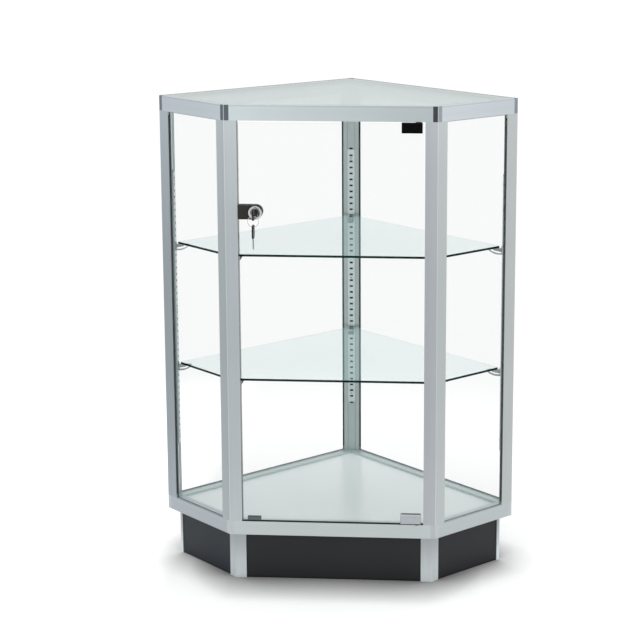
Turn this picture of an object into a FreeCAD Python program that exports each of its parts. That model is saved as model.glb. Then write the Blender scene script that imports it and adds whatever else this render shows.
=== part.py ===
import FreeCAD, Part
import os
import re
import Sketcher

# Corner display cabinet: a five-sided aluminium and glass case on a black kick base.
# Millimetres, +Z up, the front faces -Y, the right-angled back corner points to +Y.
# The origin is on the floor, under the middle of the whole object's box.

SIZES = [
    # case
    ("overall_height", 965.2),
    ("wall_length", 508.0),  # each back side, meeting at the right-angled back corner
    ("return_length", 216.0),  # each short side, square to a wall
    ("kick_height", 98.0),
    ("top_rail_height", 30.0),
    ("bottom_rail_height", 28.0),
    ("rail_depth", 22.5),
    ("skin", 1.5),  # wall of every extrusion
    ("slot_width", 5.0),
    ("slot_depth", 9.0),
    ("lip_thick", 2.2),
    ("lip_rise", 0.5),
    ("top_glass_thick", 5.0),
    ("top_glass_gap", 0.4),
    ("ledge_depth", 14.0),
    ("ledge_thick", 2.0),
    ("ledge_rise", 3.0),
    # corner connectors
    ("connector_face", 10.0),
    ("spigot_length", 25.0),
    ("spigot_fit", 0.1),
    # posts
    ("square_leg", 29.0),
    ("obtuse_leg", 24.5),
    ("jamb_depth", 18.0),
    ("groove_depth", 1.0),
    ("edge_bevel", 0.8),
    # glazing
    ("pane_thick", 4.0),
    ("gasket_web", 0.6),
    ("gasket_show", 1.5),
    ("filler_height", 3.0),
    ("filler_fit", 0.1),
    ("filler_rise", 1.8),
    ("filler_end_gap", 0.5),
    # deck and base
    ("deck_thick", 18.0),
    ("deck_gap", 0.4),
    ("base_inset", 17.5),
    ("trim_thick", 1.6),
    ("trim_front_leg", 22.5),
    ("trim_return_leg", 17.5),
    ("trim_square_leg", 7.5),
    ("panel_thick", 12.0),
    ("panel_lift", 2.0),
    # slotted standards
    ("strip_width", 16.0),
    ("strip_fit", 0.2),
    ("strip_depth", 3.5),
    ("strip_wall", 1.2),
    ("hook_slot_wide", 7.0),
    ("hook_slot_high", 4.0),
    ("hook_slot_pitch", 13.3),
    ("hook_slot_count", 42),
    ("first_hook_slot", 253.0),
    ("strip_screw_head", 2.6),
    ("strip_screw_rise", 0.8),
    # shelf clips and shelves
    ("clip_metal", 1.4),
    ("clip_width", 10.0),
    ("clip_reach", 27.0),
    ("clip_nose", 3.0),
    ("clip_ledge_drop", 4.0),
    ("clip_flange_length", 17.0),
    ("clip_flange_drop", 6.5),
    ("clip_brace_radius", 34.0),
    ("clip_tip_lap", 0.4),
    ("hook_wide", 5.0),
    ("hook_tang", 4.2),
    ("hook_seat", 0.1),
    ("cushion_thick", 1.0),
    ("cushion_length", 16.0),
    ("cushion_width", 9.0),
    ("cushion_from_tip", 1.5),
    ("shelf_thick", 4.5),
    ("shelf_tip_gap", 4.0),
    ("shelf_tip_half", 2.0),
    ("shelf_front_inset", 30.0),
    ("shelf_seat_gap", 0.3),
    ("lower_shelf_slot", 12),
    ("upper_shelf_slot", 31),
    # door and pivots
    ("door_side_gap", 2.5),
    ("pivot_inset", 10.5),
    ("clamp_length", 40.0),
    ("clamp_height", 19.5),
    ("clamp_plate", 4.0),
    ("clamp_pad", 0.5),
    ("clamp_cap", 2.0),
    ("clamp_edge_gap", 3.0),
    ("clamp_round", 1.0),
    ("clamp_screw_head", 3.0),
    ("clamp_screw_spacing", 20.0),
    ("clamp_screw_rise", 1.5),
    ("pin_radius", 1.6),
    ("pin_fit", 0.05),
    ("running_gap", 0.2),
    ("bush_flange_radius", 6.0),
    ("bush_flange_thick", 2.0),
    ("bush_block_length", 14.0),
    ("bush_block_depth", 8.0),
    ("bush_block_fit", 0.05),
    # door catch
    ("strike_length", 27.0),
    ("strike_height", 7.0),
    ("strike_metal", 1.0),
    ("strike_offset", 22.1),
    ("catch_length", 24.0),
    ("catch_gap", 0.3),
    ("stop_thick", 2.0),
    ("stop_height", 5.5),
    ("catch_foot", 1.5),
    ("magnet_length", 20.0),
    ("magnet_width", 3.0),
    ("magnet_height", 8.0),
    # lock
    ("lock_height", 756.5),
    ("lock_inset", 32.3),
    ("case_radius", 13.7),
    ("case_plate", 4.0),
    ("case_pad", 0.5),
    ("case_web", 1.0),
    ("housing_wall", 1.5),
    ("cavity_depth", 7.0),
    ("cover_thick", 1.5),
    ("cover_screw_head", 2.2),
    ("cover_screw_rise", 1.0),
    ("barrel_radius", 10.0),
    ("barrel_fit", 0.1),
    ("glass_hole_gap", 0.6),
    ("bezel_radius", 13.3),
    ("bezel_rise", 3.5),
    ("bezel_face", 11.2),
    ("plug_radius", 7.0),
    ("plug_fit", 0.05),
    ("plug_recess", 0.5),
    ("keyway_wide", 2.4),
    ("keyway_high", 8.6),
    ("disc_radius", 8.0),
    ("disc_thick", 2.0),
    ("lock_play", 0.3),
    ("crank_pin_radius", 1.5),
    ("crank_play", 0.5),
    ("bolt_travel", 8.0),
    ("bolt_thick", 2.4),
    ("bolt_half_height", 8.2),
    ("bolt_tail", 2.5),
    ("mortise_play", 0.8),
    ("mortise_depth_play", 2.4),
    # keys
    ("grip_length", 26.0),
    ("grip_width", 21.0),
    ("grip_thick", 3.5),
    ("grip_corner", 5.0),
    ("key_hole_radius", 2.5),
    ("key_hole_inset", 5.5),
    ("blade_length", 22.0),
    ("blade_width", 8.0),
    ("blade_thick", 2.0),
    ("tang_length", 9.0),
    ("tang_width", 6.0),
    ("bit_depth", 1.6),
    ("bit_pitch", 4.0),
    ("bit_start", 4.0),
    ("ring_radius", 10.6),
    ("ring_wire", 0.6),
    ("ring_play", 0.3),
]

# Places worked out from the sizes. Each line may use the lines above it.
PLACES = [
    ("half_span", "wall_length / sqrt(2)"),
    ("return_run", "return_length / sqrt(2)"),
    ("front_half", "half_span - return_run"),
    ("front_length", "2 * front_half"),
    ("post_foot", "kick_height + bottom_rail_height"),
    ("post_head", "overall_height - top_rail_height"),
    ("slot_back", "skin + slot_width"),
    ("slot_middle", "skin + slot_width / 2"),
    ("slot_floor", "slot_depth + skin"),
    ("glass_seat", "top_rail_height - lip_rise - top_glass_thick"),
    ("full_depth", "rail_depth + ledge_depth"),
    ("panel_face", "base_inset + trim_thick"),
    ("deck_foot", "kick_height + ledge_rise + ledge_thick"),
    # distance of each post's inner face and standard from the case's outer corner, along its bisector
    ("square_inner", "(square_leg + slot_back) / sqrt(2)"),
    ("obtuse_inner", "obtuse_leg * cos(67.5) + jamb_depth * sin(67.5)"),
    ("square_strip", "square_inner - groove_depth + strip_depth"),
    ("obtuse_strip", "obtuse_inner - groove_depth + strip_depth"),
    ("square_tip", "square_strip + clip_metal + shelf_tip_gap"),
    ("obtuse_tip", "obtuse_strip + clip_metal + shelf_tip_gap"),
    ("shelf_side_inset", "(square_tip - shelf_tip_half) / sqrt(2)"),
    ("strip_foot", "first_hook_slot - hook_slot_pitch"),
    ("strip_length", "hook_slot_pitch * (hook_slot_count + 1)"),
    ("lower_ledge", "first_hook_slot + lower_shelf_slot * hook_slot_pitch - clip_ledge_drop"),
    ("upper_ledge", "first_hook_slot + upper_shelf_slot * hook_slot_pitch - clip_ledge_drop"),
    ("shelf_rise", "cushion_thick + shelf_seat_gap"),
    # height of a clip's upper hook above its ledge, so that the hooks rest on the lower lips of their slots
    ("hook_drop", "clip_ledge_drop - (hook_slot_high - clip_metal) / 2 + hook_seat"),
    # door
    ("door_half", "front_half - obtuse_leg - door_side_gap"),
    ("door_end_gap", "clamp_cap + running_gap + bush_flange_thick"),
    ("door_foot", "post_foot + door_end_gap"),
    ("door_head", "post_head - door_end_gap"),
    ("pivot_x", "door_half - pivot_inset"),
    ("clamp_middle", "door_half - clamp_edge_gap - clamp_length / 2"),
    ("strike_x", "-door_half + strike_offset"),
    # lock, measured in depth from the case's front face
    ("lock_x", "-door_half + lock_inset"),
    ("case_front", "skin - case_pad - case_plate"),
    ("housing_front", "slot_back + case_pad"),
    ("cavity_front", "housing_front + housing_wall"),
    ("cavity_back", "cavity_front + cavity_depth"),
    ("plug_face", "case_front - bezel_rise + plug_recess"),
    ("disc_front", "cavity_front + lock_play"),
    ("disc_back", "disc_front + disc_thick"),
    ("bolt_front", "disc_back + lock_play"),
    ("bolt_back", "bolt_front + bolt_thick"),
    ("crank_throw", "bolt_travel / 2"),
    ("case_end", "-lock_inset - case_web"),
    ("yoke_half", "crank_pin_radius + crank_play"),
    ("bolt_end", "crank_throw + yoke_half + bolt_tail"),
    ("key_hole_depth", "disc_front - lock_play - blade_length - grip_length + key_hole_inset"),
    ("hang", "key_hole_radius - ring_wire - ring_play"),
    ("spare_hole", "lock_height - 2 * hang - 2 * ring_radius"),
    ("key_reach", "grip_width / 2 - key_hole_depth"),
    # the case in the frame
    ("line_y", "(return_run + key_reach - half_span) / 2"),
    ("front_y", "line_y - return_run"),
    ("back_y", "line_y + half_span"),
    ("glass_middle_y", "front_y + slot_middle"),
]

SQUARE = 90
OBTUSE = 135

# name: x, y, turn of the side that leaves the corner, inner angle
CORNERS = {
    "left": ("-half_span", "line_y", -45, SQUARE),
    "front_left": ("-front_half", "front_y", 0, OBTUSE),
    "front_right": ("front_half", "front_y", 45, OBTUSE),
    "right": ("half_span", "line_y", 135, SQUARE),
    "back": ("0", "back_y", 225, SQUARE),
}

# name, the corner it leaves, length, inner angle at its start and at its end
SIDES = [
    ("left_return", "left", "return_length", SQUARE, OBTUSE),
    ("front", "front_left", "front_length", OBTUSE, OBTUSE),
    ("right_return", "front_right", "return_length", OBTUSE, SQUARE),
    ("right_back", "right", "wall_length", SQUARE, SQUARE),
    ("left_back", "back", "wall_length", SQUARE, SQUARE),
]

doc = FreeCAD.newDocument("corner_display_cabinet")
sizes = doc.addObject("Spreadsheet::Sheet", "Sizes")
places = doc.addObject("Spreadsheet::Sheet", "Places")
sizeNames = [name for name, number in SIZES]
placeNames = [name for name, formula in PLACES]


def bound(text):
    """Turn plain names in a formula into references to the two sheets."""

    def reference(match):
        word = match.group(0)
        if word in sizeNames:
            return "Sizes." + word
        if word in placeNames:
            return "Places." + word
        return word

    return re.sub(r"[a-z][a-z_]*", reference, str(text))


for row, (name, number) in enumerate(SIZES, start=1):
    sizes.set("A%d" % row, name)
    sizes.set("B%d" % row, str(number))
    sizes.setAlias("B%d" % row, name)
doc.recompute()
for row, (name, formula) in enumerate(PLACES, start=1):
    places.set("A%d" % row, name)
    places.set("B%d" % row, "=" + bound(formula))
    places.setAlias("B%d" % row, name)
    doc.recompute()


def number(text):
    return float(places.evalExpression(bound(text)))


# ---- sketches and features ----

PLANES = {"X": ("YZ_Plane", 1), "Y": ("XZ_Plane", -1), "Z": ("XY_Plane", 1)}
AXES = {"X": "X_Axis", "Y": "Y_Axis", "Z": "Z_Axis"}


def origin(body, role):
    return [feature for feature in body.Origin.OriginFeatures if feature.Role == role][0]


def arcCentre(start, end, radius, turn):
    """Centre of the shorter arc from start to end that turns left (1) or right (-1)."""
    chord = end - start
    rise = max(radius * radius - chord.Length * chord.Length / 4, 0) ** 0.5
    left = FreeCAD.Vector(-chord.y, chord.x, 0).normalize()
    return (start + end) * 0.5 + left * rise * turn


def arcBetween(start, end, radius, turn):
    centre = arcCentre(start, end, radius, turn)
    middle = ((start + end) * 0.5 - centre).normalize() * radius + centre
    return Part.Arc(start, middle, end)


def drive(sketch, first, firstPoint, second, secondPoint, x, y, at):
    """Hold one sketch point at x and y from another, each bound to its formula."""
    for kind, text, now in (("DistanceX", x, at.x), ("DistanceY", y, at.y)):
        constraint = Sketcher.Constraint(kind, first, firstPoint, second, secondPoint, now)
        place = sketch.addConstraint(constraint)
        sketch.setExpression("Constraints[%d]" % place, bound(text))


def drawLoop(sketch, loop):
    """A closed loop of corners (x, y), or (x, y, radius, turn) where an arc leaves the corner."""
    at = [FreeCAD.Vector(number(corner[0]), number(corner[1]), 0) for corner in loop]
    base = sketch.GeometryCount
    count = len(loop)
    arcs = []
    ends = []
    for step, corner in enumerate(loop):
        start = at[step]
        end = at[(step + 1) % count]
        if len(corner) == 2:
            sketch.addGeometry(Part.LineSegment(start, end), False)
            ends.append((1, 2))
            continue
        sketch.addGeometry(arcBetween(start, end, number(corner[2]), corner[3]), False)
        ends.append((1, 2) if corner[3] > 0 else (2, 1))
        arcs.append((base + step, corner[2]))
    for step in range(count):
        follower = (step + 1) % count
        sketch.addConstraint(Sketcher.Constraint(
            "Coincident", base + step, ends[step][1], base + follower, ends[follower][0]))
    for step, corner in enumerate(loop):
        drive(sketch, -1, 1, base + step, ends[step][0], corner[0], corner[1], at[step])
    for place, radius in arcs:
        held = sketch.addConstraint(Sketcher.Constraint("Radius", place, number(radius)))
        sketch.setExpression("Constraints[%d]" % held, bound(radius))


def drawCircle(sketch, x, y, radius):
    centre = FreeCAD.Vector(number(x), number(y), 0)
    circle = Part.Circle(centre, FreeCAD.Vector(0, 0, 1), number(radius))
    place = sketch.addGeometry(circle, False)
    drive(sketch, -1, 1, place, 3, x, y, centre)
    held = sketch.addConstraint(Sketcher.Constraint("Radius", place, number(radius)))
    sketch.setExpression("Constraints[%d]" % held, bound(radius))


def newSketch(body, axis, loops, height="0"):
    """A sketch square to an axis; a loop of three plain texts is a circle (x, y, radius)."""
    role, sense = PLANES[axis]
    sketch = body.newObject("Sketcher::SketchObject", body.Name + "_outline")
    sketch.AttachmentSupport = [(origin(body, role), "")]
    sketch.MapMode = "FlatFace"
    sketch.setExpression(".AttachmentOffset.Base.z", "%d * (%s)" % (sense, bound(height)))
    for loop in loops:
        if isinstance(loop[0], str):
            drawCircle(sketch, *loop)
        else:
            drawLoop(sketch, loop)
    return sketch


def newBody(label):
    body = doc.addObject("PartDesign::Body", label)
    body.Label = label
    return body


def slab(body, axis, loops, low, high, cut=False):
    """Add, or cut away, the loops between two heights along an axis."""
    sketch = newSketch(body, axis, loops, "((%s) + (%s)) / 2" % (low, high))
    kind = "PartDesign::Pocket" if cut else "PartDesign::Pad"
    feature = body.newObject(kind, body.Name + ("_cut" if cut else "_pad"))
    feature.Profile = sketch
    feature.SideType = "Symmetric"
    feature.setExpression("Length", bound("(%s) - (%s)" % (high, low)))
    return feature


def turned(body, loop):
    """A solid of revolution about the body's Y axis, from a loop of (radius, depth)."""
    sketch = newSketch(body, "Z", [loop])
    feature = body.newObject("PartDesign::Revolution", body.Name + "_turn")
    feature.Profile = sketch
    feature.ReferenceAxis = (sketch, ["V_Axis"])
    feature.Angle = 360
    return feature


def rounded(body, radius, chosen):
    """Round the edges of a body that a test picks out."""
    doc.recompute()
    base = body.Tip
    names = ["Edge%d" % (place + 1) for place, edge in enumerate(base.Shape.Edges) if chosen(edge)]
    feature = body.newObject("PartDesign::Fillet", body.Name + "_round")
    feature.Base = (base, names)
    feature.setExpression("Radius", bound(radius))
    return feature


def bevelled(body, size, chosen):
    """Cut back the edges of a body that a test picks out."""
    doc.recompute()
    base = body.Tip
    names = ["Edge%d" % (place + 1) for place, edge in enumerate(base.Shape.Edges) if chosen(edge)]
    feature = body.newObject("PartDesign::Chamfer", body.Name + "_bevel")
    feature.Base = (base, names)
    feature.setExpression("Size", bound(size))
    return feature


def runsAlong(edge, axis):
    if edge.Curve.TypeId != "Part::GeomLine":
        return False
    direction = edge.Vertexes[-1].Point - edge.Vertexes[0].Point
    return abs(direction.normalize().dot(axis)) > 0.999


def boxLoop(lowX, lowY, highX, highY):
    return [(lowX, lowY), (highX, lowY), (highX, highY), (lowX, highY)]


def eightSided(x, y, radius):
    """An octagon: small screw heads are drawn with few faces."""
    corners = [22.5 + 45 * step for step in range(8)]
    return [("%s + (%s) * cos(%s)" % (x, radius, turn), "%s + (%s) * sin(%s)" % (y, radius, turn))
            for turn in corners]


def move(shape, x, y, z, angle=0, axis=FreeCAD.Vector(0, 0, 1)):
    """Turn a shape and bind its place to three formulas."""
    shape.Placement = FreeCAD.Placement(FreeCAD.Vector(), FreeCAD.Rotation(axis, angle))
    for letter, text in (("x", x), ("y", y), ("z", z)):
        shape.setExpression(".Placement.Base." + letter, bound(text))
    return shape


def moveToCorner(shape, corner, z):
    x, y, angle, inner = CORNERS[corner]
    return move(shape, x, y, z, angle)


def moveOnSide(shape, corner, x, y, z):
    """Place a shape at x along a side and y in from its face."""
    startX, startY, angle, inner = CORNERS[corner]
    frameX = "%s + (%s) * cos(%d) - (%s) * sin(%d)" % (startX, x, angle, y, angle)
    frameY = "%s + (%s) * sin(%d) + (%s) * cos(%d)" % (startY, x, angle, y, angle)
    return move(shape, frameX, frameY, z, angle)


def moveOnBisector(shape, corner, distance, z):
    """Place a shape on a corner's bisector, with its X axis pointing into the case."""
    x, y, angle, inner = CORNERS[corner]
    turn = angle + inner / 2
    frameX = "%s + (%s) * cos(%s)" % (x, distance, turn)
    frameY = "%s + (%s) * sin(%s)" % (y, distance, turn)
    return move(shape, frameX, frameY, z, turn)


def block(name, length, width, height):
    box = doc.addObject("Part::Box", name)
    for side, text in (("Length", length), ("Width", width), ("Height", height)):
        box.setExpression(side, bound(text))
    return box


def minus(name, base, tool):
    cut = doc.addObject("Part::Cut", name)
    cut.Base = base
    cut.Tool = tool
    return cut


def joined(name, *shapes):
    fuse = doc.addObject("Part::MultiFuse", name)
    fuse.Shapes = list(shapes)
    return fuse


nodes = []


def keep(label, shape):
    shape.Label = label
    nodes.append(shape)
    return shape


def keepGroup(label, shapes):
    group = doc.addObject("Part::Compound", label)
    group.Links = shapes
    return keep(label, group)


# ---- corner geometry ----


def acrossCorner(x, y, inner):
    """A point x along the arriving side and y in from its face, in the leaving side's axes."""
    return (
        "(%s) * cos(%d) + (%s) * sin(%d)" % (x, inner, y, inner),
        "(%s) * sin(%d) - (%s) * cos(%d)" % (x, inner, y, inner),
    )


def onBisector(depth, inner):
    return ("(%s) / tan(%s)" % (depth, inner / 2), depth)


def fromBisector(distance, across, inner):
    """A point at a distance along the bisector, and across it towards the leaving side."""
    half = inner / 2
    return (
        "(%s) * cos(%s) + (%s) * sin(%s)" % (distance, half, across, half),
        "(%s) * sin(%s) - (%s) * cos(%s)" % (distance, half, across, half),
    )


def mitre(depth, length, startAngle, endAngle, cap):
    """Loops that cut a side's two ends square at the cap, then along the corner bisectors."""
    past = "%s + 2" % depth
    start = [("-2", "-2"), (cap, "-2")]
    end = [("(%s) + 2" % length, "-2"), ("(%s) - (%s)" % (length, cap), "-2")]
    if cap != "0":
        start.append((cap, "(%s) * tan(%s)" % (cap, startAngle / 2)))
        end.append(("(%s) - (%s)" % (length, cap), "(%s) * tan(%s)" % (cap, endAngle / 2)))
    else:
        start[1] = ("-2 / tan(%s)" % (startAngle / 2), "-2")
        end[1] = ("(%s) + 2 / tan(%s)" % (length, endAngle / 2), "-2")
        start[0] = ("-4", "-2")
        end[0] = ("(%s) + 4" % length, "-2")
    start.append(("(%s) / tan(%s)" % (past, startAngle / 2), past))
    end.append(("(%s) - (%s) / tan(%s)" % (length, past, endAngle / 2), past))
    start.append((start[0][0], past))
    end.append((end[0][0], past))
    return [start, end]


# ---- rails ----

TOP_RAIL = [
    [("0", "0"), ("skin", "0"), ("skin", "slot_depth"), ("slot_back", "slot_depth"),
     ("slot_back", "0"), ("rail_depth", "0"), ("rail_depth", "glass_seat"),
     ("lip_thick", "glass_seat"), ("lip_thick", "top_rail_height"), ("0", "top_rail_height")],
    boxLoop("skin", "slot_floor", "rail_depth - skin", "glass_seat - skin"),
]

BOTTOM_RAIL = [
    [("0", "0"), ("rail_depth", "0"), ("rail_depth", "ledge_rise"), ("full_depth", "ledge_rise"),
     ("full_depth", "ledge_rise + ledge_thick"), ("rail_depth", "ledge_rise + ledge_thick"),
     ("rail_depth", "bottom_rail_height"), ("slot_back", "bottom_rail_height"),
     ("slot_back", "bottom_rail_height - slot_depth"), ("skin", "bottom_rail_height - slot_depth"),
     ("skin", "bottom_rail_height"), ("0", "bottom_rail_height")],
    boxLoop("skin", "skin", "rail_depth - skin", "bottom_rail_height - slot_floor"),
]


def makeRail(label, profile, side, depth, height, foot):
    name, corner, length, startAngle, endAngle = side
    rail = newBody(label + name)
    slab(rail, "X", profile, "0", length)
    ends = mitre(depth, length, startAngle, endAngle, "connector_face")
    slab(rail, "Z", ends, "-1", "%s + 1" % height, cut=True)
    moveToCorner(rail, corner, foot)
    return keep(label + name, rail)


for side in SIDES:
    makeRail("top_rail_", TOP_RAIL, side, "rail_depth", "top_rail_height", "post_head")
for side in SIDES:
    makeRail("bottom_rail_", BOTTOM_RAIL, side, "full_depth", "bottom_rail_height", "kick_height")


# ---- posts ----


def legPoints(leg, depth, glazed):
    """One leg of a post, from its outer end to its inner corner."""
    if not glazed:
        return [(leg, "0"), (leg, depth)]
    points = [(leg, "0"), (leg, "skin"), ("%s - slot_depth" % leg, "skin"),
              ("%s - slot_depth" % leg, "slot_back"), (leg, "slot_back")]
    if depth != "slot_back":
        points.append((leg, depth))
    return points


def hollowPoints(leg, depth, glazed, inner, wall):
    """The hollow behind one leg: along its skin, round its slot and up to the inner face."""
    half = inner / 2
    face = "((%s) - (%s)" % (wall, "%s")
    far = "%s - skin" % leg
    near = "%s - slot_floor" % leg
    behind = "slot_back + skin"
    if not glazed:
        return [(far, "skin"), (far, face % far + " * cos(%s)) / sin(%s)" % (half, half))]
    points = [(near, "skin"), (near, behind)]
    if depth == "slot_back":
        reach = "((%s) - (%s) * sin(%s)) / cos(%s)" % (wall, behind, half, half)
        return points + [(reach, behind)]
    return points + [(far, behind), (far, face % ("(" + far + ")") + " * cos(%s)) / sin(%s)" % (half, half))]


def makePost(corner, leavingGlazed, arrivingGlazed):
    inner = CORNERS[corner][3]
    leg = "square_leg" if inner == SQUARE else "obtuse_leg"
    depth = "slot_back" if inner == SQUARE else "jamb_depth"
    face = "square_inner" if inner == SQUARE else "obtuse_inner"
    groove = "(strip_width / 2 + strip_fit)"
    floor = face + " - groove_depth"
    outline = [("0", "0")] + legPoints(leg, depth, leavingGlazed)
    outline += [fromBisector(face, groove, inner), fromBisector(floor, groove, inner),
                fromBisector(floor, "-" + groove, inner), fromBisector(face, "-" + groove, inner)]
    outline += [acrossCorner(x, y, inner) for x, y in reversed(legPoints(leg, depth, arrivingGlazed))]
    wall = face + " - groove_depth - skin"
    hollow = [onBisector("skin", inner)] + hollowPoints(leg, depth, leavingGlazed, inner, wall)
    hollow += [acrossCorner(x, y, inner)
               for x, y in reversed(hollowPoints(leg, depth, arrivingGlazed, inner, wall))]
    post = newBody("post_" + corner)
    slab(post, "Z", [outline, hollow], "0", "post_head - post_foot")
    up = FreeCAD.Vector(0, 0, 1)
    bevelled(post, "edge_bevel",
             lambda edge: runsAlong(edge, up) and edge.CenterOfMass.x ** 2 + edge.CenterOfMass.y ** 2 < 0.01)
    moveToCorner(post, corner, "post_foot")
    return keep("post_" + corner, post)


makePost("left", True, True)
jamb = makePost("front_left", False, True)
makePost("front_right", True, False)
makePost("right", True, True)
makePost("back", True, True)

# the bolt's mortise in the left jamb
mortiseReach = "(bolt_half_height + mortise_play)"
slab(jamb, "X", [boxLoop("bolt_front - mortise_depth_play", "lock_height - post_foot - " + mortiseReach,
                         "bolt_back + mortise_depth_play", "lock_height - post_foot + " + mortiseReach)],
     "obtuse_leg - skin - 1", "obtuse_leg + 1", cut=True)


# ---- corner connectors ----


def connectorLoop(face, depth, inner):
    """The plan of a corner block: two visible faces, returned to a depth and closed on the bisector."""
    if inner == SQUARE:
        return boxLoop("0", "0", face, depth)
    return [("0", "0"), (face, "0"), (face, depth), onBisector(depth, inner),
            acrossCorner(face, depth, inner), acrossCorner(face, "0", inner)]


def lipLoop(inner):
    return [("0", "0"), ("connector_face", "0"), ("connector_face", "lip_thick"),
            onBisector("lip_thick", inner),
            acrossCorner("connector_face", "lip_thick", inner), acrossCorner("connector_face", "0", inner)]


def plugLoop(inner):
    """The spigot that enters the post, just inside its skin and under the connector's block."""
    edge = "(skin + spigot_fit)"
    far = "(connector_face - spigot_fit)"
    if inner == SQUARE:
        return boxLoop(edge, edge, far, far)
    depth = "(jamb_depth * 0.7)"
    return [onBisector(edge, inner), (far, edge), (far, depth), onBisector(depth, inner),
            acrossCorner(far, depth, inner), acrossCorner(far, edge, inner)]


def spigotLoops(inner):
    near = "(connector_face / 2)"
    far = "(connector_face + spigot_length)"
    low = "(skin + spigot_fit)"
    high = "(rail_depth - skin - spigot_fit)"
    leaving = boxLoop(near, low, far, high)
    arriving = [acrossCorner(x, y, inner) for x, y in reversed(leaving)]
    return leaving, arriving


def makeConnector(label, corner, height, hollowLow, hollowHigh, foot, postUp, lip):
    inner = CORNERS[corner][3]
    depth = "connector_face" if inner == SQUARE else "rail_depth"
    top = "glass_seat" if lip else height
    connector = newBody(label + corner)
    slab(connector, "Z", [connectorLoop("connector_face", depth, inner)], "0", top)
    if lip:
        slab(connector, "Z", [lipLoop(inner)], top + " - 1", height)
    for loop in spigotLoops(inner):
        slab(connector, "Z", [loop], hollowLow + " + spigot_fit", hollowHigh + " - spigot_fit")
    if postUp:
        slab(connector, "Z", [plugLoop(inner)], height + " - 1", height + " + spigot_length")
    else:
        slab(connector, "Z", [plugLoop(inner)], "-spigot_length", "1")
    up = FreeCAD.Vector(0, 0, 1)
    bevelled(connector, "edge_bevel",
             lambda edge: runsAlong(edge, up) and edge.CenterOfMass.x ** 2 + edge.CenterOfMass.y ** 2 < 0.01)
    return moveToCorner(connector, corner, foot)


keepGroup("top_corner_connectors", [
    makeConnector("top_connector_", corner, "top_rail_height", "slot_floor", "glass_seat - skin",
                  "post_head", False, True) for corner in CORNERS])
keepGroup("bottom_corner_connectors", [
    makeConnector("bottom_connector_", corner, "bottom_rail_height", "skin",
                  "bottom_rail_height - slot_floor",
                  "kick_height", True, False) for corner in CORNERS])


# ---- glass, gaskets, deck ----


def pentagon(inset):
    """The case's plan, drawn in by an inset on every side."""
    tip = "(%s) * sqrt(2)" % inset
    turn = "(%s) / tan(67.5)" % inset
    return [
        ("-half_span + " + tip, "line_y"),
        ("-front_half + " + turn, "front_y + %s" % inset),
        ("front_half - (%s)" % turn, "front_y + %s" % inset),
        ("half_span - (%s)" % tip, "line_y"),
        ("0", "back_y - (%s)" % tip),
    ]


topGlass = newBody("top_glass")
slab(topGlass, "Z", [pentagon("lip_thick + top_glass_gap")], "0", "top_glass_thick")
move(topGlass, "0", "0", "post_head + glass_seat")
keep("top_glass", topGlass)

deck = newBody("deck_panel")
slab(deck, "Z", [pentagon("rail_depth + deck_gap")], "0", "deck_thick")
move(deck, "0", "0", "deck_foot")
keep("deck_panel", deck)

paneFoot = "(post_foot - slot_depth + gasket_web)"
paneHead = "(post_head + slot_depth - gasket_web)"


def paneBox(name, corner, length, startLeg, endLeg, grow, y, width):
    """A box in the glazing plane, let into posts and rails; grow pushes every edge outwards."""
    start = "(%s - slot_depth + gasket_web - (%s))" % (startLeg, grow)
    end = "(%s - %s + slot_depth - gasket_web + (%s))" % (length, endLeg, grow)
    foot = "(%s - (%s))" % (paneFoot, grow)
    pane = block(name, "%s - %s" % (end, start), width, "%s + (%s) - %s" % (paneHead, grow, foot))
    return moveOnSide(pane, corner, start, y, foot)


gaskets = []
for name, corner, length, startAngle, endAngle in SIDES:
    if name == "front":
        continue
    startLeg = "square_leg" if startAngle == SQUARE else "obtuse_leg"
    endLeg = "square_leg" if endAngle == SQUARE else "obtuse_leg"
    depth = "(slot_middle - pane_thick / 2)"
    pane = paneBox("glass_" + name, corner, length, startLeg, endLeg, "0", depth, "pane_thick")
    keep("glass_" + name, pane)
    window = "-(slot_depth - gasket_web + gasket_show)"
    rim = paneBox("gasket_rim_" + name, corner, length, startLeg, endLeg, "gasket_web", "skin", "slot_width")
    core = paneBox("gasket_core_" + name, corner, length, startLeg, endLeg, "0", depth, "pane_thick")
    hole = paneBox("gasket_window_" + name, corner, length, startLeg, endLeg, window, "0", "slot_back + 2")
    gaskets.append(minus("gasket_" + name, rim, joined("gasket_void_" + name, core, hole)))
keepGroup("wall_gaskets", gaskets)


# ---- kick base ----


def makeTrim(corner, leavingLeg, arrivingLeg):
    inner = CORNERS[corner][3]
    half = inner / 2
    reach = "(base_inset / tan(%s) + %s)"
    leaving = reach % (half, leavingLeg)
    arriving = reach % (half, arrivingLeg)
    loop = [onBisector("base_inset", inner), (leaving, "base_inset"), (leaving, "panel_face"),
            onBisector("panel_face", inner),
            acrossCorner(arriving, "panel_face", inner), acrossCorner(arriving, "base_inset", inner)]
    trim = newBody("trim_" + corner)
    slab(trim, "Z", [loop], "0", "kick_height")
    return moveToCorner(trim, corner, "0")


keepGroup("base_posts", [
    makeTrim("left", "trim_square_leg", "trim_square_leg"),
    makeTrim("front_left", "trim_front_leg", "trim_return_leg"),
    makeTrim("front_right", "trim_return_leg", "trim_front_leg"),
    makeTrim("right", "trim_square_leg", "trim_square_leg"),
    makeTrim("back", "trim_square_leg", "trim_square_leg"),
])

for name, corner, length, startAngle, endAngle in SIDES:
    panel = newBody("kick_panel_" + name)
    back = "panel_face + panel_thick"
    slab(panel, "X", [boxLoop("panel_face", "panel_lift", back, "kick_height")], "0", length)
    slab(panel, "Z", mitre(back, length, startAngle, endAngle, "0"), "-1", "kick_height + 1", cut=True)
    moveToCorner(panel, corner, "0")
    keep("kick_panel_" + name, panel)


# ---- slotted standards ----


def stripDistance(corner):
    return "square_strip" if CORNERS[corner][3] == SQUARE else "obtuse_strip"


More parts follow.
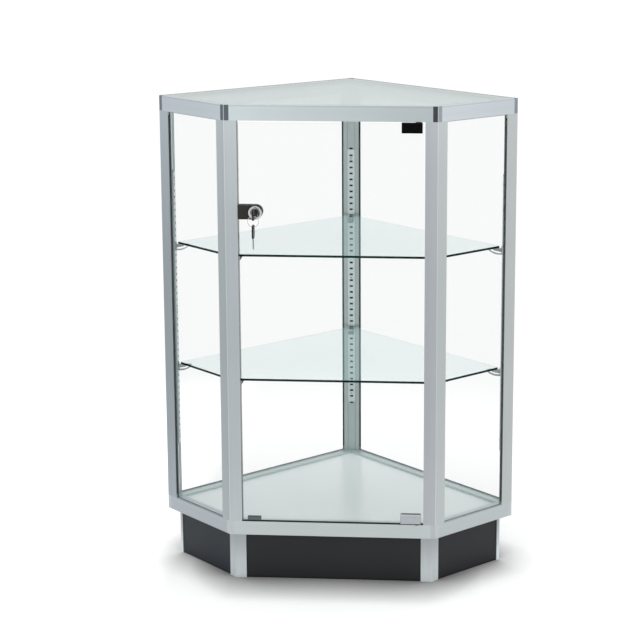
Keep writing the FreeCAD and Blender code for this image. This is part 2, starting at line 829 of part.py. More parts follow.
# where the three screws stand between slots, counted in slot pitches from the strip's foot
STRIP_SCREWS = ["1.5", "(hook_slot_count / 2 + 0.5)", "(hook_slot_count - 0.5)"]


def makeStandard(corner):
    """A channel with its web to the front, pierced by a column of hook slots."""
    half = "strip_width / 2"
    loop = [("0", "-" + half), ("0", half), ("-strip_depth", half), ("-strip_depth", half + " - strip_wall"),
            ("-strip_wall", half + " - strip_wall"), ("-strip_wall", "-%s + strip_wall" % half),
            ("-strip_depth", "-%s + strip_wall" % half), ("-strip_depth", "-" + half)]
    strip = newBody("standard_" + corner)
    slab(strip, "Z", [loop], "0", "strip_length")
    opening = boxLoop("-hook_slot_wide / 2", "hook_slot_pitch - hook_slot_high / 2",
                      "hook_slot_wide / 2", "hook_slot_pitch + hook_slot_high / 2")
    first = slab(strip, "X", [opening], "-strip_wall - 1", "1", cut=True)
    row = strip.newObject("PartDesign::LinearPattern", strip.Name + "_slots")
    row.Originals = [first]
    row.Direction = (origin(strip, AXES["Z"]), [""])
    row.setExpression("Length", bound("hook_slot_pitch * (hook_slot_count - 1)"))
    row.setExpression("Occurrences", bound("hook_slot_count"))
    strip.Tip = row
    return moveOnBisector(strip, corner, stripDistance(corner), "strip_foot")


keepGroup("shelf_standards", [makeStandard(corner) for corner in CORNERS])


def makeStripScrew(name, corner, height):
    """A low screw head on the web, between two slots."""
    screw = newBody(name)
    slab(screw, "X", [eightSided("0", "0", "strip_screw_head")], "0", "strip_screw_rise")
    return moveOnBisector(screw, corner, stripDistance(corner), height)


keepGroup("standard_screws", [
    makeStripScrew("strip_screw_%s_%d" % (corner, step), corner, "strip_foot + hook_slot_pitch * %s" % place)
    for corner in CORNERS for step, place in enumerate(STRIP_SCREWS)])


# ---- shelf clips, cushions and shelves ----


def makeClip(name, corner, ledge):
    """A bent strip: upright with two hooks, ledge, nose and a bowed brace, stiffened by side flanges."""
    clip = newBody(name)
    foot = "(hook_drop - hook_slot_pitch - clip_metal)"
    head = "(hook_drop + clip_metal / 2)"
    tang = head + " + hook_tang"
    nose = "-clip_nose"
    bow = "clip_brace_radius"
    half = "clip_width / 2"
    outer = [("0", head), ("0", foot), ("clip_metal", foot, bow, 1),
             ("clip_reach", nose), ("clip_reach", "0"), ("clip_metal", "0"), ("clip_metal", head)]
    inner = [("clip_metal", "-clip_metal"), ("clip_reach - clip_metal", "-clip_metal"),
             ("clip_reach - clip_metal", nose + " + clip_tip_lap", bow + " - clip_metal", -1),
             ("clip_metal", foot + " + clip_metal * 1.1")]
    slab(clip, "Y", [outer, inner], "-" + half, half)
    for side in ("-1", "1"):
        low = "%s * (%s - clip_metal / 2) - clip_metal / 2" % (side, half)
        high = "%s * (%s - clip_metal / 2) + clip_metal / 2" % (side, half)
        flange = [("clip_metal / 2", "-clip_metal / 2"), ("clip_metal / 2", "-clip_flange_drop"),
                  ("clip_flange_length", "-clip_flange_drop / 2"), ("clip_flange_length", "-clip_metal / 2")]
        slab(clip, "Y", [flange], low, high)
    grip = "hook_wide / 2"
    back = "-(strip_wall + strip_depth) / 2"
    upper = [("clip_metal / 2", "hook_drop - clip_metal / 2"), ("clip_metal / 2", head),
             (back + " + clip_metal / 2", head), (back + " + clip_metal / 2", tang),
             (back + " - clip_metal / 2", tang), (back + " - clip_metal / 2", "hook_drop - clip_metal / 2")]
    slab(clip, "Y", [upper], "-" + grip, grip)
    lower = boxLoop(back, foot + " + clip_metal / 2", "clip_metal / 2", foot + " + clip_metal * 1.5")
    slab(clip, "Y", [lower], "-" + grip, grip)
    return moveOnBisector(clip, corner, stripDistance(corner), ledge)


for level in ("lower", "upper"):
    keepGroup(level + "_shelf_clips", [
        makeClip("%s_clip_%s" % (level, corner), corner, level + "_ledge") for corner in CORNERS])

cushions = []
for level in ("lower", "upper"):
    for corner in CORNERS:
        cushion = newBody("%s_cushion_%s" % (level, corner))
        start = "clip_reach - cushion_from_tip - cushion_length"
        pad = boxLoop(start, "-cushion_width / 2", "clip_reach - cushion_from_tip", "cushion_width / 2")
        slab(cushion, "Z", [pad], "0", "cushion_thick")
        cushions.append(moveOnBisector(cushion, corner, stripDistance(corner), level + "_ledge"))
keepGroup("clip_cushions", cushions)


def shelfLoop():
    """The shelf's plan: five sides, with each corner cut square to its bisector to clear a standard."""
    tip = "(square_tip)"
    half = "shelf_tip_half"
    turnFront = "((obtuse_tip - shelf_front_inset * sin(67.5)) / cos(67.5))"
    turnSide = "((obtuse_tip - shelf_side_inset * sin(67.5)) / cos(67.5))"
    sideX = "(-front_half - %s * cos(45) + shelf_side_inset * cos(45))" % turnSide
    sideY = "(front_y + %s * cos(45) + shelf_side_inset * cos(45))" % turnSide
    left = [
        ("-half_span + " + tip, "line_y + " + half),
        ("-half_span + " + tip, "line_y - " + half),
        (sideX, sideY),
        ("-front_half + " + turnFront, "front_y + shelf_front_inset"),
    ]
    right = [("-(%s)" % x, y) for x, y in reversed(left)]
    back = [(half, "back_y - " + tip), ("-" + half, "back_y - " + tip)]
    return left + right + back


for level in ("lower", "upper"):
    shelf = newBody(level + "_shelf")
    slab(shelf, "Z", [shelfLoop()], "0", "shelf_thick")
    move(shelf, "0", "0", level + "_ledge + shelf_rise")
    keep(level + "_shelf", shelf)


# ---- door glass, pivots and catch ----

doorGlass = newBody("door_glass")
slab(doorGlass, "Y", [boxLoop("-door_half", "door_foot", "door_half", "door_head"),
                      ("lock_x", "lock_height", "barrel_radius + glass_hole_gap")],
     "-slot_width / 2", "slot_width / 2")
move(doorGlass, "0", "glass_middle_y", "0")
keep("door_glass", doorGlass)

clampHalf = "(slot_width / 2 + clamp_pad + clamp_plate)"
clampInner = "(slot_width / 2 + clamp_pad)"


def makeClamp(label, sense, cap):
    """A channel over the glass edge; sense is 1 where its legs point down from the cap, -1 up."""
    drop = "%d * (%s)"
    foot = drop % (-sense, "clamp_height")
    under = drop % (-sense, "clamp_cap")
    loop = [("-" + clampHalf, "0"), (clampHalf, "0"), (clampHalf, foot), (clampInner, foot),
            (clampInner, under), ("-" + clampInner, under), ("-" + clampInner, foot), ("-" + clampHalf, foot)]
    clamp = newBody(label)
    slab(clamp, "X", [loop], "-clamp_length / 2", "clamp_length / 2")
    along = FreeCAD.Vector(1, 0, 0)
    up = FreeCAD.Vector(0, 0, 1)
    outer = number(clampHalf) - 0.01
    bevelled(clamp, "clamp_round", lambda edge: (runsAlong(edge, up) or runsAlong(edge, along))
             and abs(edge.CenterOfMass.y) > outer)
    pin = ("pivot_x - clamp_middle", "0", "pin_radius")
    slab(clamp, "Z", [pin], "-clamp_cap - 1", "clamp_cap + 1", cut=True)
    move(clamp, "clamp_middle", "glass_middle_y", cap)
    return keep(label, clamp)


makeClamp("upper_hinge_clamp", 1, "door_head + clamp_cap")
makeClamp("lower_hinge_clamp", -1, "door_foot - clamp_cap")

pads = []
screws = []
for level, middle in (("lower", "door_foot + (clamp_height - clamp_cap) / 2"),
                      ("upper", "door_head - (clamp_height - clamp_cap) / 2")):
    height = "(clamp_height - clamp_cap - 2)"
    for side, depth in (("front", "-" + clampInner), ("rear", "slot_width / 2")):
        pad = block("%s_pad_%s" % (level, side), "clamp_length - 2", "clamp_pad", height)
        move(pad, "clamp_middle - clamp_length / 2 + 1", "glass_middle_y + " + depth,
             "%s - %s / 2" % (middle, height))
        pads.append(pad)
    for side in (-1, 1):
        name = "%s_screw_%d" % (level, side + 2)
        screw = newBody(name)
        head = eightSided("0", "0", "clamp_screw_head")
        slab(screw, "Y", [head], clampHalf, clampHalf + " + clamp_screw_rise")
        move(screw, "clamp_middle + %d * clamp_screw_spacing / 2" % side, "glass_middle_y", middle)
        screws.append(screw)
keepGroup("hinge_pads", pads)
keepGroup("hinge_screws", screws)

pinLength = "(clamp_cap + running_gap + bush_flange_thick + bush_block_depth)"
pins = []
bushes = []
for level, sense, pinFoot, face in (("lower", -1, "door_foot - " + pinLength, "post_foot"),
                                    ("upper", 1, "door_head", "post_head")):
    pin = newBody(level + "_hinge_pin")
    slab(pin, "Z", [("0", "0", "pin_radius")], "0", pinLength)
    pins.append(move(pin, "pivot_x", "glass_middle_y", pinFoot))
    bush = newBody(level + "_pivot_bush")
    flange = ("-bush_flange_thick", "0") if sense == 1 else ("0", "bush_flange_thick")
    seat = ("0", "bush_block_depth") if sense == 1 else ("-bush_block_depth", "0")
    slab(bush, "Z", [("0", "0", "bush_flange_radius")], *flange)
    fit = "(slot_width / 2 - bush_block_fit)"
    slab(bush, "Z", [boxLoop("-bush_block_length / 2", "-" + fit, "bush_block_length / 2", fit)], *seat)
    bore = [("0", "0", "pin_radius + pin_fit")]
    slab(bush, "Z", bore, "-bush_block_depth - 1", "bush_block_depth + 1", cut=True)
    bushes.append(move(bush, "pivot_x", "glass_middle_y", face))
keepGroup("hinge_pins", pins)
keepGroup("pivot_bushes", bushes)

strike = newBody("strike_clip")
outerHalf = "(slot_width / 2 + strike_metal)"
slab(strike, "X", [[
    ("-" + outerHalf, "-strike_metal"), (outerHalf, "-strike_metal"),
    (outerHalf, "strike_height - strike_metal"),
    ("slot_width / 2", "strike_height - strike_metal"), ("slot_width / 2", "0"), ("-slot_width / 2", "0"),
    ("-slot_width / 2", "strike_height - strike_metal"), ("-" + outerHalf, "strike_height - strike_metal")]],
    "-strike_length / 2", "strike_length / 2")
move(strike, "strike_x", "glass_middle_y", "door_foot")
keep("strike_clip", strike)

catch = newBody("catch_body")
catchFit = "(slot_width / 2 - bush_block_fit)"
stopFace = "(slot_width / 2 + strike_metal + catch_gap)"
magnetHead = "(door_end_gap - strike_metal - catch_gap)"
catchHalf = "catch_length / 2"
slab(catch, "Z", [boxLoop("-" + catchHalf, "-" + catchFit, catchHalf, catchFit)],
     "-bush_block_depth", magnetHead + " - catch_gap")
slab(catch, "Z", [boxLoop("-" + catchHalf, "-" + catchFit, catchHalf, stopFace + " + stop_thick")],
     "0", "catch_foot")
stopLoop = boxLoop("-" + catchHalf, stopFace, catchHalf, stopFace + " + stop_thick")
slab(catch, "Z", [stopLoop], "0", "stop_height")
magnetLoop = boxLoop("-magnet_length / 2", "-magnet_width / 2", "magnet_length / 2", "magnet_width / 2")
slab(catch, "Z", [magnetLoop], magnetHead + " - magnet_height", magnetHead + " + 1", cut=True)
move(catch, "strike_x", "glass_middle_y", "post_foot")
keep("catch_body", catch)

magnet = newBody("catch_magnet")
slab(magnet, "Z", [magnetLoop], magnetHead + " - magnet_height", magnetHead)
move(magnet, "strike_x", "glass_middle_y", "post_foot")
keep("catch_magnet", magnet)

# rubber strips in the open slots above and below the door, stopped short of the bushes and the catch
# the lower strips stand above the rail as a seal under the door
fillerGap = "(bush_block_length / 2 + filler_end_gap)"
catchEnd = "(catch_length / 2 + filler_end_gap)"
sealFoot = "post_foot - filler_height"
sealHeight = "filler_height + filler_rise"
doorway = "(front_half - obtuse_leg - filler_fit)"
runs = [
    ("top_filler_left", "-" + doorway, "pivot_x - " + fillerGap, "post_head", "filler_height"),
    ("top_filler_right", "pivot_x + " + fillerGap, "front_half - connector_face", "post_head",
     "filler_height"),
    ("bottom_filler_left", "-" + doorway, "strike_x - " + catchEnd, sealFoot, sealHeight),
    ("bottom_filler_middle", "strike_x + " + catchEnd, "pivot_x - " + fillerGap, sealFoot, sealHeight),
    ("bottom_filler_right", "pivot_x + " + fillerGap, doorway, sealFoot, sealHeight),
]
fillers = []
for name, start, end, foot, height in runs:
    strip = block(name, "%s - (%s)" % (end, start), "slot_width - 2 * filler_fit", height)
    fillers.append(move(strip, start, "front_y + skin + filler_fit", foot))
keepGroup("slot_fillers", fillers)


# ---- lock ----
# Every piece is drawn about the plug's axis, with y = 0 at the case's front face.


def caseLoop(start):
    """The lock's face: square at the glass edge, half round about the plug."""
    return [(start, "-case_radius"), ("0", "-case_radius", "case_radius", 1),
            ("case_radius", "0", "case_radius", 1), ("0", "case_radius"), (start, "case_radius")]


def moveToLock(shape, label):
    move(shape, "lock_x", "front_y", "lock_height")
    return keep(label, shape)


lockCase = newBody("lock_case")
slab(lockCase, "Y", [caseLoop("case_end"), ("0", "0", "barrel_radius + barrel_fit")],
     "case_front", "skin - case_pad")
slab(lockCase, "Y", [boxLoop("case_end", "-case_radius", "-lock_inset", "case_radius")],
     "skin - case_pad - 0.5", "housing_front + 0.5")
slab(lockCase, "Y", [caseLoop("case_end"), ("0", "0", "barrel_radius + barrel_fit")],
     "housing_front", "cavity_front")
slab(lockCase, "Y", [caseLoop("case_end")], "cavity_front", "cavity_back")
slab(lockCase, "Y", [boxLoop("case_end - 1", "-(bolt_half_height + lock_play)", "bolt_end + 2 * lock_play",
                             "bolt_half_height + lock_play")], "cavity_front", "cavity_back + 1", cut=True)
coverScrews = [(x, "%d * (case_radius + bolt_half_height) / 2" % side)
               for x in ("case_end + case_radius / 2", "-barrel_radius / 2 + 2") for side in (-1, 1)]
moveToLock(lockCase, "lock_case")

lockPads = []
for name, depth in (("front", "skin - case_pad"), ("rear", "slot_back")):
    pad = newBody("lock_pad_" + name)
    slab(pad, "Y", [boxLoop("-lock_inset + 1", "-case_radius + 1", "-barrel_radius - 2", "case_radius - 1")],
         depth, depth + " + case_pad")
    lockPads.append(move(pad, "lock_x", "front_y", "lock_height"))
keepGroup("lock_pads", lockPads)

lockCover = newBody("lock_cover")
slab(lockCover, "Y", [caseLoop("case_end")], "cavity_back", "cavity_back + cover_thick")
moveToLock(lockCover, "lock_cover")

coverScrewBodies = []
for step, (x, z) in enumerate(coverScrews):
    screw = newBody("cover_screw_%d" % step)
    head = eightSided("0", "0", "cover_screw_head")
    slab(screw, "Y", [head], "cover_thick", "cover_thick + cover_screw_rise")
    coverScrewBodies.append(move(screw, "lock_x + " + x, "front_y + cavity_back", "lock_height + " + z))
keepGroup("lock_cover_screws", coverScrewBodies)

barrel = newBody("lock_barrel")
bore = "(plug_radius + plug_fit)"
bezelFace = "(case_front - bezel_rise)"
turned(barrel, [(bore, "cavity_front"), (bore, bezelFace), ("bezel_face", bezelFace),
                ("bezel_radius", "case_front"), ("barrel_radius", "case_front"),
                ("barrel_radius", "cavity_front")])
moveToLock(barrel, "lock_barrel")

plug = newBody("lock_plug")
turned(plug, [("0", "plug_face"), ("plug_radius", "plug_face"), ("plug_radius", "disc_front"),
              ("disc_radius", "disc_front"), ("disc_radius", "disc_back"),
              ("0", "disc_back")])
slab(plug, "Y", [boxLoop("-keyway_wide / 2", "-keyway_high / 2", "keyway_wide / 2", "keyway_high / 2")],
     "plug_face - 1", "disc_front", cut=True)
slab(plug, "Y", [("crank_throw", "-crank_throw", "crank_pin_radius")],
     "disc_back - 0.5", "bolt_back + lock_play")
moveToLock(plug, "lock_plug")

bolt = newBody("lock_bolt")
slab(bolt, "Y", [boxLoop("case_end", "-bolt_half_height", "bolt_end", "bolt_half_height")],
     "bolt_front", "bolt_back")
fork = boxLoop("crank_throw - yoke_half", "-bolt_half_height - 1",
               "crank_throw + yoke_half", "-crank_throw + yoke_half")
slab(bolt, "Y", [fork], "bolt_front - 1", "bolt_back + 1", cut=True)
across = FreeCAD.Vector(0, 0, 1)
noseAt = number("case_end") + 0.01
rounded(bolt, "bolt_thick / 3", lambda edge: runsAlong(edge, across) and edge.CenterOfMass.x < noseAt)
moveToLock(bolt, "lock_bolt")


# ---- keys and ring ----
# A key is drawn about its ring hole, with the blade pointing to +Y and its flat square to X.


def makeKey(prefix):
    head = "grip_length - key_hole_inset"
    tip = "grip_length - key_hole_inset + blade_length"
    half = "blade_width / 2"
    tang = boxLoop("%s - tang_length" % head, "-tang_width / 2", head, "tang_width / 2")
    blade = newBody(prefix + "key_blade")
    edge = [(head, "-" + half)]
    for step in range(4):
        valley = "%s + bit_start + %d * bit_pitch" % (head, step)
        edge.append((valley + " - bit_depth", "-" + half))
        edge.append((valley, "-%s + bit_depth" % half))
        edge.append((valley + " + bit_depth", "-" + half))
    edge += [("%s - blade_width / 4" % tip, "-" + half), (tip, "0"), ("%s - blade_width / 4" % tip, half),
             (head, half), (head, "tang_width / 2"), (head + " - tang_length", "tang_width / 2"),
             (head + " - tang_length", "-tang_width / 2"), (head, "-tang_width / 2")]
    slab(blade, "X", [edge], "-blade_thick / 2", "blade_thick / 2")
    grip = newBody(prefix + "key_grip")
    slab(grip, "X", [boxLoop("-key_hole_inset", "-grip_width / 2", head, "grip_width / 2"),
                     ("0", "0", "key_hole_radius")], "-grip_thick / 2", "grip_thick / 2")
    through = FreeCAD.Vector(1, 0, 0)
    bevelled(grip, "grip_corner", lambda edge: runsAlong(edge, through))
    slab(grip, "X", [tang], "-blade_thick / 2", "blade_thick / 2", cut=True)
    return blade, grip


blade, grip = makeKey("")
for shape, label in ((blade, "key_blade"), (grip, "key_grip")):
    move(shape, "lock_x", "front_y + key_hole_depth", "lock_height")
    keep(label, shape)

ring = newBody("key_ring")
inside = "(ring_radius - ring_wire)"
outside = "(ring_radius + ring_wire)"
turned(ring, [(inside, "-ring_wire"), (outside, "-ring_wire"), (outside, "ring_wire"), (inside, "ring_wire")])
move(ring, "lock_x", "front_y + key_hole_depth", "lock_height - hang - ring_radius")
keep("key_ring", ring)

spareBlade, spareGrip = makeKey("spare_")
for shape, label in ((spareBlade, "spare_key_blade"), (spareGrip, "spare_key_grip")):
    move(shape, "lock_x", "front_y + key_hole_depth", "spare_hole", -90, FreeCAD.Vector(1, 0, 0))
    keep(label, shape)


# ---- check and write ----

doc.recompute()
for item in doc.Objects:
    if "Invalid" in item.State or "Error" in item.State:
        raise RuntimeError("%s failed: %s" % (item.Label, item.State))
for node in nodes:
    if node.Shape.isNull() or not node.Shape.isValid():
        raise RuntimeError("%s has no valid shape" % node.Label)
    if not node.Shape.Solids:
        raise RuntimeError("%s holds no solid" % node.Label)

os.makedirs("parts", exist_ok=True)
for node in nodes:
    node.Shape.exportStep("parts/%s.step" % node.Label)
    print(node.Label, len(node.Shape.Solids), "solids")
print(len(nodes), "nodes")
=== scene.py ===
import math

import bmesh
import bpy
from mathutils import Matrix, Vector


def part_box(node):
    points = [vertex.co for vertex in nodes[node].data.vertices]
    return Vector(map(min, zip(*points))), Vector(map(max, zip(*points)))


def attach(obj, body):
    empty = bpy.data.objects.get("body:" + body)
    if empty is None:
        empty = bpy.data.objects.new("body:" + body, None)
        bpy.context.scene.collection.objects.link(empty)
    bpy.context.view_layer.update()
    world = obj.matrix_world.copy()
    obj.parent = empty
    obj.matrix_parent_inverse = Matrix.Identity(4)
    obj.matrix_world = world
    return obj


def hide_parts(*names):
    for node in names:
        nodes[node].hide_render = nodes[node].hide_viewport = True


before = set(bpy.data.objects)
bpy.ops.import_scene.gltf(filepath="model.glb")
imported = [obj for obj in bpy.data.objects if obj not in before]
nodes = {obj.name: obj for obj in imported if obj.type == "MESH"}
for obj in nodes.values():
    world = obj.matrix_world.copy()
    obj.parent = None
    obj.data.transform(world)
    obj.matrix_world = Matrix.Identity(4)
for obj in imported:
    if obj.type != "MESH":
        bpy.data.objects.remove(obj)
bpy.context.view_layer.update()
milli = 0.001
print("frame loaded:", len(nodes), "nodes")

# the case's plan, from its top glass, which stands a small inset inside the outer faces
glassInset = 2.6 * milli
glassLow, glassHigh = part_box("top_glass")
halfSpan = glassHigh[0] + glassInset * math.sqrt(2)
frontY = glassLow[1] - glassInset
backY = glassHigh[1] + glassInset * math.sqrt(2)
lineY = backY - halfSpan
frontHalf = halfSpan - (lineY - frontY)
# each corner: its place and the way into the case along its bisector
corners = {
    "left": (Vector((-halfSpan, lineY, 0)), 0),
    "front_left": (Vector((-frontHalf, frontY, 0)), 67.5),
    "front_right": (Vector((frontHalf, frontY, 0)), 112.5),
    "right": (Vector((halfSpan, lineY, 0)), 180),
    "back": (Vector((0, backY, 0)), 270),
}
# each side: the way it runs and its two corners
sides = {
    "left_return": (-45, "left", "front_left"),
    "front": (0, "front_left", "front_right"),
    "right_return": (45, "front_right", "right"),
    "right_back": (135, "right", "back"),
    "left_back": (225, "back", "left"),
}
faceShare = 0.97  # how nearly a face looks a given way to count as looking that way


class Value:
    # a node socket that can be used in sums
    def __init__(self, finish, socket):
        self.finish = finish
        self.socket = socket

    def maths(self, operation, first, second=0.0, clamp=False):
        settings = {"operation": operation, "use_clamp": clamp}
        return self.finish.add("ShaderNodeMath", settings, {0: first, 1: second})

    def __add__(self, other):
        return self.maths("ADD", self, other)

    __radd__ = __add__

    def __mul__(self, other):
        return self.maths("MULTIPLY", self, other)

    __rmul__ = __mul__

    def __sub__(self, other):
        return self.maths("SUBTRACT", self, other)

    def __rsub__(self, other):
        return self.maths("SUBTRACT", other, self)

    def __pow__(self, other):
        return self.maths("POWER", self, other)

    def __gt__(self, other):
        return self.maths("GREATER_THAN", self, other)

    def __lt__(self, other):
        return self.maths("LESS_THAN", self, other)

    def __abs__(self):
        return self.maths("ABSOLUTE", self)

    def clamped(self):
        return self.maths("ADD", self, 0.0, clamp=True)


class Finish:
    # one material, or the sky, and the nodes that make it
    def __init__(self, name, owner=None):
        self.material = owner or bpy.data.materials.new(name)
        self.material.use_nodes = True
        self.tree = self.material.node_tree
        self.tree.nodes.clear()

    def add(self, kind, settings=None, sockets=None, output=0):
        # any node, from its type, its settings and the values or links of its sockets
        node = self.tree.nodes.new(kind)
        for name, value in (settings or {}).items():
            setattr(node, name, value)
        for name, value in (sockets or {}).items():
            socket = node.inputs[name]
            if isinstance(value, Value):
                self.tree.links.new(value.socket, socket)
            elif socket.type == "RGBA":
                socket.default_value = (*value, 1.0)
            else:
                socket.default_value = value
        return Value(self, node.outputs[output]) if node.outputs else None

    def place(self, scale=(1, 1, 1), turn=0.0):
        # object coordinates in metres, turned about Z and stretched
        here = self.add("ShaderNodeTexCoord", output="Object")
        sockets = {"Vector": here, "Rotation": (0, 0, math.radians(-turn))}
        return self.times(self.add("ShaderNodeMapping", {}, sockets), scale)

    def normal(self):
        return self.add("ShaderNodeTexCoord", output="Normal")

    def times(self, vector, factor):
        # a colour or a place times another, channel by channel
        settings = {"operation": "MULTIPLY"}
        return self.add("ShaderNodeVectorMath", settings, {0: vector, 1: factor})

    def along(self, source, axis):
        # how far a direction or place lies along an axis
        settings = {"operation": "DOT_PRODUCT"}
        return self.add("ShaderNodeVectorMath", settings, {0: source, 1: axis}, "Value")

    def height(self):
        return self.along(self.place(), (0, 0, 1))

    def faces(self, way):
        # one on the faces that look a given way
        return self.along(self.normal(), way) > faceShare

    def noise(self, look, spot=None):
        # a look is the noise's scale, detail and roughness
        scale, detail, rough = look
        sockets = {"Vector": spot or self.place(), "Scale": scale, "Detail": detail,
                   "Roughness": rough}
        return self.add("ShaderNodeTexNoise", {}, sockets, "Fac")

    def mixColour(self, amount, low, high):
        sockets = {0: amount, 6: low, 7: high}
        return self.add("ShaderNodeMix", {"data_type": "RGBA"}, sockets, 2)

    def tinted(self, colour, mask, factor):
        # the colour times a factor wherever the mask is one
        return self.mixColour(mask, colour, self.times(colour, factor))

    def swept(self, colour, share, low, high):
        # the colour made lighter or darker from one end to the other
        factor = self.mixColour(share.clamped(), (low, low, low), (high, high, high))
        return self.times(colour, factor)

    def sweptAlong(self, colour, start, end, tones, power=1.0):
        way = (end - start) / (end - start).length_squared
        share = (self.along(self.place(), way) - start.dot(way)).clamped()
        return self.swept(colour, share ** power, *tones)

    def nearOutline(self, deep):
        # one within a depth of the case's outer faces
        spot = self.place()
        mask = 0.0
        for turn, start, end in sides.values():
            outward = Vector(flatWay(turn - 90))
            mask = (self.along(spot, outward) > corners[start][0].dot(outward) - deep) + mask
        return mask.clamped()

    def bump(self, height, strength, distance):
        sockets = {"Height": height, "Strength": strength, "Distance": distance}
        return self.add("ShaderNodeBump", {}, sockets, "Normal")

    def surface(self, sockets):
        shader = self.add("ShaderNodeBsdfPrincipled", {}, sockets)
        self.add("ShaderNodeOutputMaterial", {}, {"Surface": shader})
        return self.material


def flatWay(turn):
    return (math.cos(math.radians(turn)), math.sin(math.radians(turn)), 0)


def shaded(tone, tint):
    return tuple(channel * share for channel, share in zip(tone, tint))


def wear(nodeNames, material):
    for name in nodeNames:
        mesh = nodes[name].data
        if not mesh.materials:
            mesh.materials.append(material)
        for place in range(len(mesh.materials)):
            mesh.materials[place] = material


# metal finishes
anodised = {
    "dark": (0.375, 0.415, 0.430),
    "light": (0.455, 0.500, 0.513),
    "metal": 0.45,
    "rough": 0.29,
    "roughSpread": 0.10,
    "streaks": (900.0, 4.0, 0.65),
    "streakStretch": 0.006,
    "streakShare": 0.5,
    "bands": (75.0, 1.0, 0.5),
    "bandShare": 0.5,
    "clouds": (9.0, 2.0, 0.5),
    "cloudShare": 0.4,
    "least": -0.2,
    "bump": 0.06,
    "bumpDepth": 0.0001,
    # painted highlight on a post's corner edge
    "ridgeHighlight": (1.22, 1.22, 1.20),
    "slotHalf": 0.0034,
    # painted shade on the post behind each slot of the strip
    "slotShade": (0.012, 0.016, 0.016),
    "slotFoot": 0.235,
    "slotHead": 0.815,
    # painted shade in the grooves beside the strip
    "grooveAt": 0.0083,
    "grooveHalf": 0.0006,
    "groove": (0.62, 0.62, 0.62),
    # painted shade on the door jamb
    "jamb": (0.03, 0.035, 0.035),
    # painted light on inner faces, upward faces and the bottom rails' ledges
    "inner": (1.22, 1.25, 1.24),
    "lip": (1.20, 1.22, 1.22),
    "ledge": (1.02, 1.07, 1.05),
    # painted reflection, lighter towards the top and the foot
    "riseMiddle": 0.50,
    "riseHalf": 0.43,
    "riseLean": 0.04,
    # a painted shade line over a painted highlight line at a top rail's outer edge
    "shadeLineFrom": 0.9619,
    "shadeLine": (0.84, 0.85, 0.86),
    "highlightLineFrom": 0.9602,
    "highlightLine": (1.05, 1.05, 1.05),
}


def cornerShadeAndHighlight(finish, colour, corner):
    # a post's painted highlight along its corner edge, and painted shade in the grooves beside its
    # strip and behind each slot of the strip
    place, way = corner
    inward, across = flatWay(way), flatWay(way + 90)
    spot = finish.place()
    height = finish.along(spot, (0, 0, 1))
    offset = abs(finish.along(spot, across) - place.dot(across))
    facing = finish.faces(inward)
    grooves = (abs(offset - anodised["grooveAt"]) < anodised["grooveHalf"]) * facing
    colour = finish.tinted(colour, grooves, anodised["groove"])
    span = (height > anodised["slotFoot"]) * (height < anodised["slotHead"])
    slotShadeMask = (offset < anodised["slotHalf"]) * facing * span
    colour = finish.mixColour(slotShadeMask, colour, anodised["slotShade"])
    return finish.tinted(colour, finish.faces(flatWay(way + 180)), anodised["ridgeHighlight"])


def makeAnodised(name, turn, upright, tint=(1, 1, 1), faces=(), corner=None, jambWay=None,
                 run=None, glow=0.0, paintedLinesWay=None):
    # drawn metal, with fine streaks along its length, and painted light and shade on its faces,
    # ends and edges
    finish = Finish(name)
    stretch = anodised["streakStretch"]
    spot = finish.place((1, 1, stretch) if upright else (stretch, 1, 1), turn)
    streaks = finish.noise(anodised["streaks"], spot)
    bandSpot = finish.place((1, 1, 0) if upright else (0, 1, 1), turn)
    bands = finish.noise(anodised["bands"], bandSpot)
    clouds = finish.noise(anodised["clouds"])
    share = (streaks * anodised["streakShare"] + bands * anodised["bandShare"]
             + clouds * anodised["cloudShare"] + anodised["least"])
    colour = finish.mixColour(share.clamped(), shaded(anodised["dark"], tint),
                              shaded(anodised["light"], tint))
    if run:
        colour = finish.sweptAlong(colour, *run)
    if glow:
        # painted reflection: lighter towards the top and the foot
        rise = (finish.height() - anodised["riseMiddle"]) * (1 / anodised["riseHalf"])
        bowl = rise * rise * (rise * anodised["riseLean"] + 1.0)
        colour = finish.swept(colour, bowl, 1.0, 1.0 + glow)
    # painted light and shade: each listed face lighter or darker by the way it looks
    for way, factor in faces:
        colour = finish.tinted(colour, finish.faces(way), factor)
    if corner:
        colour = cornerShadeAndHighlight(finish, colour, corner)
    if paintedLinesWay is not None:
        # painted shade line along the top edge, over a painted highlight line
        height, facing = finish.height(), finish.faces(flatWay(paintedLinesWay))
        for edge in ("highlightLine", "shadeLine"):
            mask = facing * (height > anodised[edge + "From"])
            colour = finish.tinted(colour, mask, anodised[edge])
    # painted shade: the jamb face made dark for the shade of the gap at the door
    if jambWay is not None:
        colour = finish.mixColour(finish.faces(flatWay(jambWay)), colour, anodised["jamb"])
    return finish.surface({
        "Base Color": colour,
        "Metallic": anodised["metal"],
        "Roughness": anodised["rough"] + streaks * anodised["roughSpread"],
        "Normal": finish.bump(streaks, anodised["bump"], anodised["bumpDepth"]),
    })


